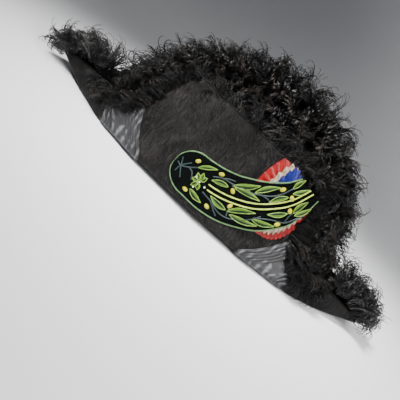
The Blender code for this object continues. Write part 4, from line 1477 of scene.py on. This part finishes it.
# The tone means are partly painted: the far face's high mean is painted light, and the near rim's low mean is
# painted shade.
CRESTS = {
    "far_rim": {"side": 1, "count": 570, "depth": (0.001, 0.016), "leans": (-0.30, 0.40),
                "curl": (1.5, 4.0), "length": (0.028, 0.054), "tone": 0.34},
    "far_face": {"side": 1, "count": 590, "depth": (0.004, 0.066), "leans": (0.5, 1.3),
                 "curl": (2.4, 5.6), "length": (0.024, 0.042), "tone": 0.50},
    "near_rim": {"side": -1, "count": 520, "depth": (-0.001, 0.010), "leans": (-0.2, 0.45),
                 "curl": (2.2, 5.2), "length": (0.022, 0.040), "tone": 0.28},
}
edge_samples = np.linspace(*CREST_ENDS, 481)


def edge_places(side, count):
    """Random values of x, spread evenly along a flap's edge."""
    heights = flap_top(side, edge_samples)
    lengths = np.concatenate(([0.0], np.cumsum(np.hypot(np.diff(edge_samples), np.diff(heights)))))
    even = (np.arange(count) + chance.uniform(0.1, 0.9, count)) / count * lengths[-1]
    return np.interp(even, lengths, edge_samples)


def fan_headings(side, x, z):
    """Headings in the flap's plane, out from low in its middle, like the ribs of a fan."""
    fan = np.stack([x, 0 * x, z - FAN_CENTRE * flap_top(side, 0.0)], axis=-1)
    normal = flap_normal(side, x, z)
    return unit(fan - normal * (fan * normal).sum(axis=1, keepdims=True)), normal


# %% Root the crests' clumps
def crest_clumps(side, count, depth, leans, curl, length, tone):
    """Clumps rooted on a flap's inside, from its edge down to a depth below it."""
    x = edge_places(side, count)
    top = flap_top(side, x)
    deepest = np.minimum(depth[1], np.maximum(top - flap_top(-side, x) + BEHIND_NEAR, LEAST_DEPTH))
    z = top - depth[0] - (deepest - depth[0]) * chance.uniform(0.0, 1.0, count)
    roots = np.stack([x, side * (flap_reach(x, z) - FELT - CREST_LIFT), z], axis=-1)
    fan, _ = fan_headings(side, x, z)
    away = (1 - blend_between(*BARE_FACE, np.abs(x))) * (side < 0)
    lean = chance.uniform(*leans, count) - BARE_LEAN * away
    headings = fan + np.array([0.0, -1.0, 0.0]) * lean[:, None] + chance.normal(0, 0.25, (count, 3))
    targets = np.array([0.0, -0.6, -0.7]) + chance.normal(0.0, 1.0, (count, 3)) + fan * 0.2
    targets[:, 1] += BARE_CURL * away
    shoulder = np.exp(-((x - SHOULDER["x"]) / SHOULDER["wide"]) ** 2)
    return clump_table(roots, headings, targets, curl, length, (tone, CREST_TONE_SPREAD),
                       longer=1 - SHOULDER["shorter"] * shoulder)


feather_clumps = {name: crest_clumps(**crest) for name, crest in CRESTS.items()}
print("crest clumps:", {name: len(clumps["roots"]) for name, clumps in feather_clumps.items()})


# %% [markdown]
# ## Spilling feather and tufts
# The trim spills out over the low ends of the near flap's edge, and on each horn's tip it
# ends in a tuft. Copies of one tuft would look alike, so both are clumps again: the spill
# fans out sideways and hangs, and the tufts swing round the horn's end.

# %% Grow the spill and the tufts
SPILL_COUNT = 290
SPILL_FRONT = (0.066, 0.160)
SPILL_BACK = (0.078, 0.116)
SPILL_FRONT_SHARE = 0.66
SPILL_DEPTH = (-0.002, 0.014)
LOOP_END = (0.060, 0.096)
LOOP_END_TOP = (0.068, 0.1134)
LOOP_END_SLOPE = 0.55
SPILL_HANG = (0.07, 0.10)
SPILL_LONGER = (0.08, 0.12)
TUFT_COUNT = 190
TUFT_X = (0.190, 0.236)
TUFT_STRAY = 14
TUFTS = {
    "fore": {"end": 1, "swings": (-30, 66), "towards": (0.4, 0.0, 0.7)},
    "aft": {"end": -1, "swings": (-30, 88), "towards": (-0.9, 0.0, -0.2)},
}


def spill_clumps(count):
    """Clumps that spill out over the low ends of the near flap's edge and down its face."""
    front = chance.uniform(0.0, 1.0, count) < SPILL_FRONT_SHARE
    x = np.where(front, chance.uniform(*SPILL_FRONT, count), -chance.uniform(*SPILL_BACK, count))
    top = flap_top(-1, x)
    over_loop = (x > LOOP_END[0]) & (x < LOOP_END[1])
    loop_edge = np.where(over_loop, LOOP_END_TOP[1] - (x - LOOP_END_TOP[0]) * LOOP_END_SLOPE, 0.0)
    below = chance.uniform(*SPILL_DEPTH, count) * blend_between(*SPILL_HANG, np.abs(x))
    z = np.minimum(np.maximum(top - below, loop_edge), top - SPILL_DEPTH[0])
    fan, normal = fan_headings(-1, x, z)
    outwards = fan * 0.9 + np.stack([0.35 * np.sign(x), 0 * x, 0 * x], axis=-1)
    lift = chance.uniform(0.3, 1.1, count)[:, None]
    headings = outwards + normal * lift + chance.normal(0, 0.22, (count, 3))
    targets = np.array([0.0, 0.2, -1.0]) + outwards * 0.8 + chance.normal(0, 0.7, (count, 3))
    roots = np.stack([x, -flap_reach(x, z) + 0.001, z], axis=-1)
    # The spill's low tone is painted shade.
    return clump_table(roots, headings, targets, (2.0, 4.6), (0.016, 0.020), (0.22, 0.20),
                       longer=1 + 0.9 * blend_between(*SPILL_LONGER, np.abs(x)))


def tuft_clumps(end, swings, towards, count=TUFT_COUNT):
    """Clumps along the top edges of a horn's tip, fanned out over its end."""
    share = chance.uniform(0.0, 1.0, count) ** 0.8
    x = end * (TUFT_X[0] + (TUFT_X[1] - TUFT_X[0]) * share)
    z = np.maximum(flap_top(-1, x), flap_top(1, x)) - chance.uniform(0.0, 0.006, count) * share
    y = half_width(x) * chance.uniform(-0.9, 0.9, count)
    swing = np.radians(swings[0] + (swings[1] - swings[0]) * share + chance.normal(0, TUFT_STRAY, count))
    headings = np.stack([end * np.sin(swing), chance.normal(0, 0.35, count), np.cos(swing)], axis=-1)
    targets = np.array(towards) + chance.normal(0, 0.9, (count, 3))
    roots = np.stack([x, y, z], axis=-1)
    return clump_table(roots, headings, targets, (2.0, 5.0), (0.026, 0.050), (0.25, 0.20))


# %% [markdown]
# ## The feathers' pieces and finish
# The barbs are made band by band, because each band is one piece with one finish.
# Dyed feather is nearly black where it is matt and brown where light comes through it, and
# each barb has a tone of its own. That light is painted: the band down the far flap's inside
# has a lit brown copy of the finish and higher tones, and the near flap's bands have a darker
# copy and lower tones, as painted shade. Colour by place would stripe a barb along its length,
# so the tone is kept as an attribute at the barb's points.

# %% Name the feathers' bands and colours
FEATHERS = {
    "far_rim": {"node": "far_crest", "finish": "glossy_plume", "width": 0.00115, "spread": 0.0017},
    "far_face": {"node": "far_crest", "finish": "backlit_brown_plume", "width": 0.00120, "spread": 0.0015},
    "near_rim": {"node": "near_crest", "finish": "shaded_plume", "width": 0.00115, "spread": 0.0015},
    "spill": {"node": "near_crest", "finish": "shaded_plume", "width": 0.00115, "spread": 0.0014},
    "fore_tuft": {"node": "fore_tuft", "finish": "glossy_plume", "width": 0.00110, "spread": 0.0014},
    "aft_tuft": {"node": "aft_tuft", "finish": "glossy_plume", "width": 0.00110, "spread": 0.0014},
}
# The lit brown copy's light colour is painted light through the barbs, and the darker copy's light colour is
# painted shade.
PLUME_BLACK = (0.0007, 0.0007, 0.0007)
PLUMES = {
    "glossy_plume": {"roughness": 0.32, "specular": 0.50, "light": (0.042, 0.036, 0.031)},
    "backlit_brown_plume": {"roughness": 0.33, "specular": 0.48, "light": (0.046, 0.0365, 0.030)},
    "shaded_plume": {"roughness": 0.50, "specular": 0.16, "light": (0.030, 0.024, 0.020)},
}
print("feather bands:", list(FEATHERS))


# %% Finish the feathers
def plume_finish(name, roughness, specular, light):
    """Dyed feather: each barb has one tone between nearly black and its light colour."""
    plume, shader = start_finish(name, roughness, specular)
    middle = tuple(0.14 * value for value in light)
    colour = ramp(plume, own_tone(plume), (0.15, PLUME_BLACK), (0.60, middle), (0.95, light))
    set_colour(plume, shader, colour)
    return plume


plumes = {name: plume_finish(name, **plume) for name, plume in PLUMES.items()}


# %% Grow the feathers
for name, feather in FEATHERS.items():
    if name == "spill":
        feather_clumps[name] = spill_clumps(SPILL_COUNT)
    elif name not in feather_clumps:
        feather_clumps[name] = tuft_clumps(**TUFTS[name.removesuffix("_tuft")])
    barbs = clumped_barbs(name + "_barbs", feather_clumps[name], feather["width"], feather["spread"])
    finish_piece(barbs, "feather", feather["node"], angle=180.0)
    dress(plumes[feather["finish"]], barbs)
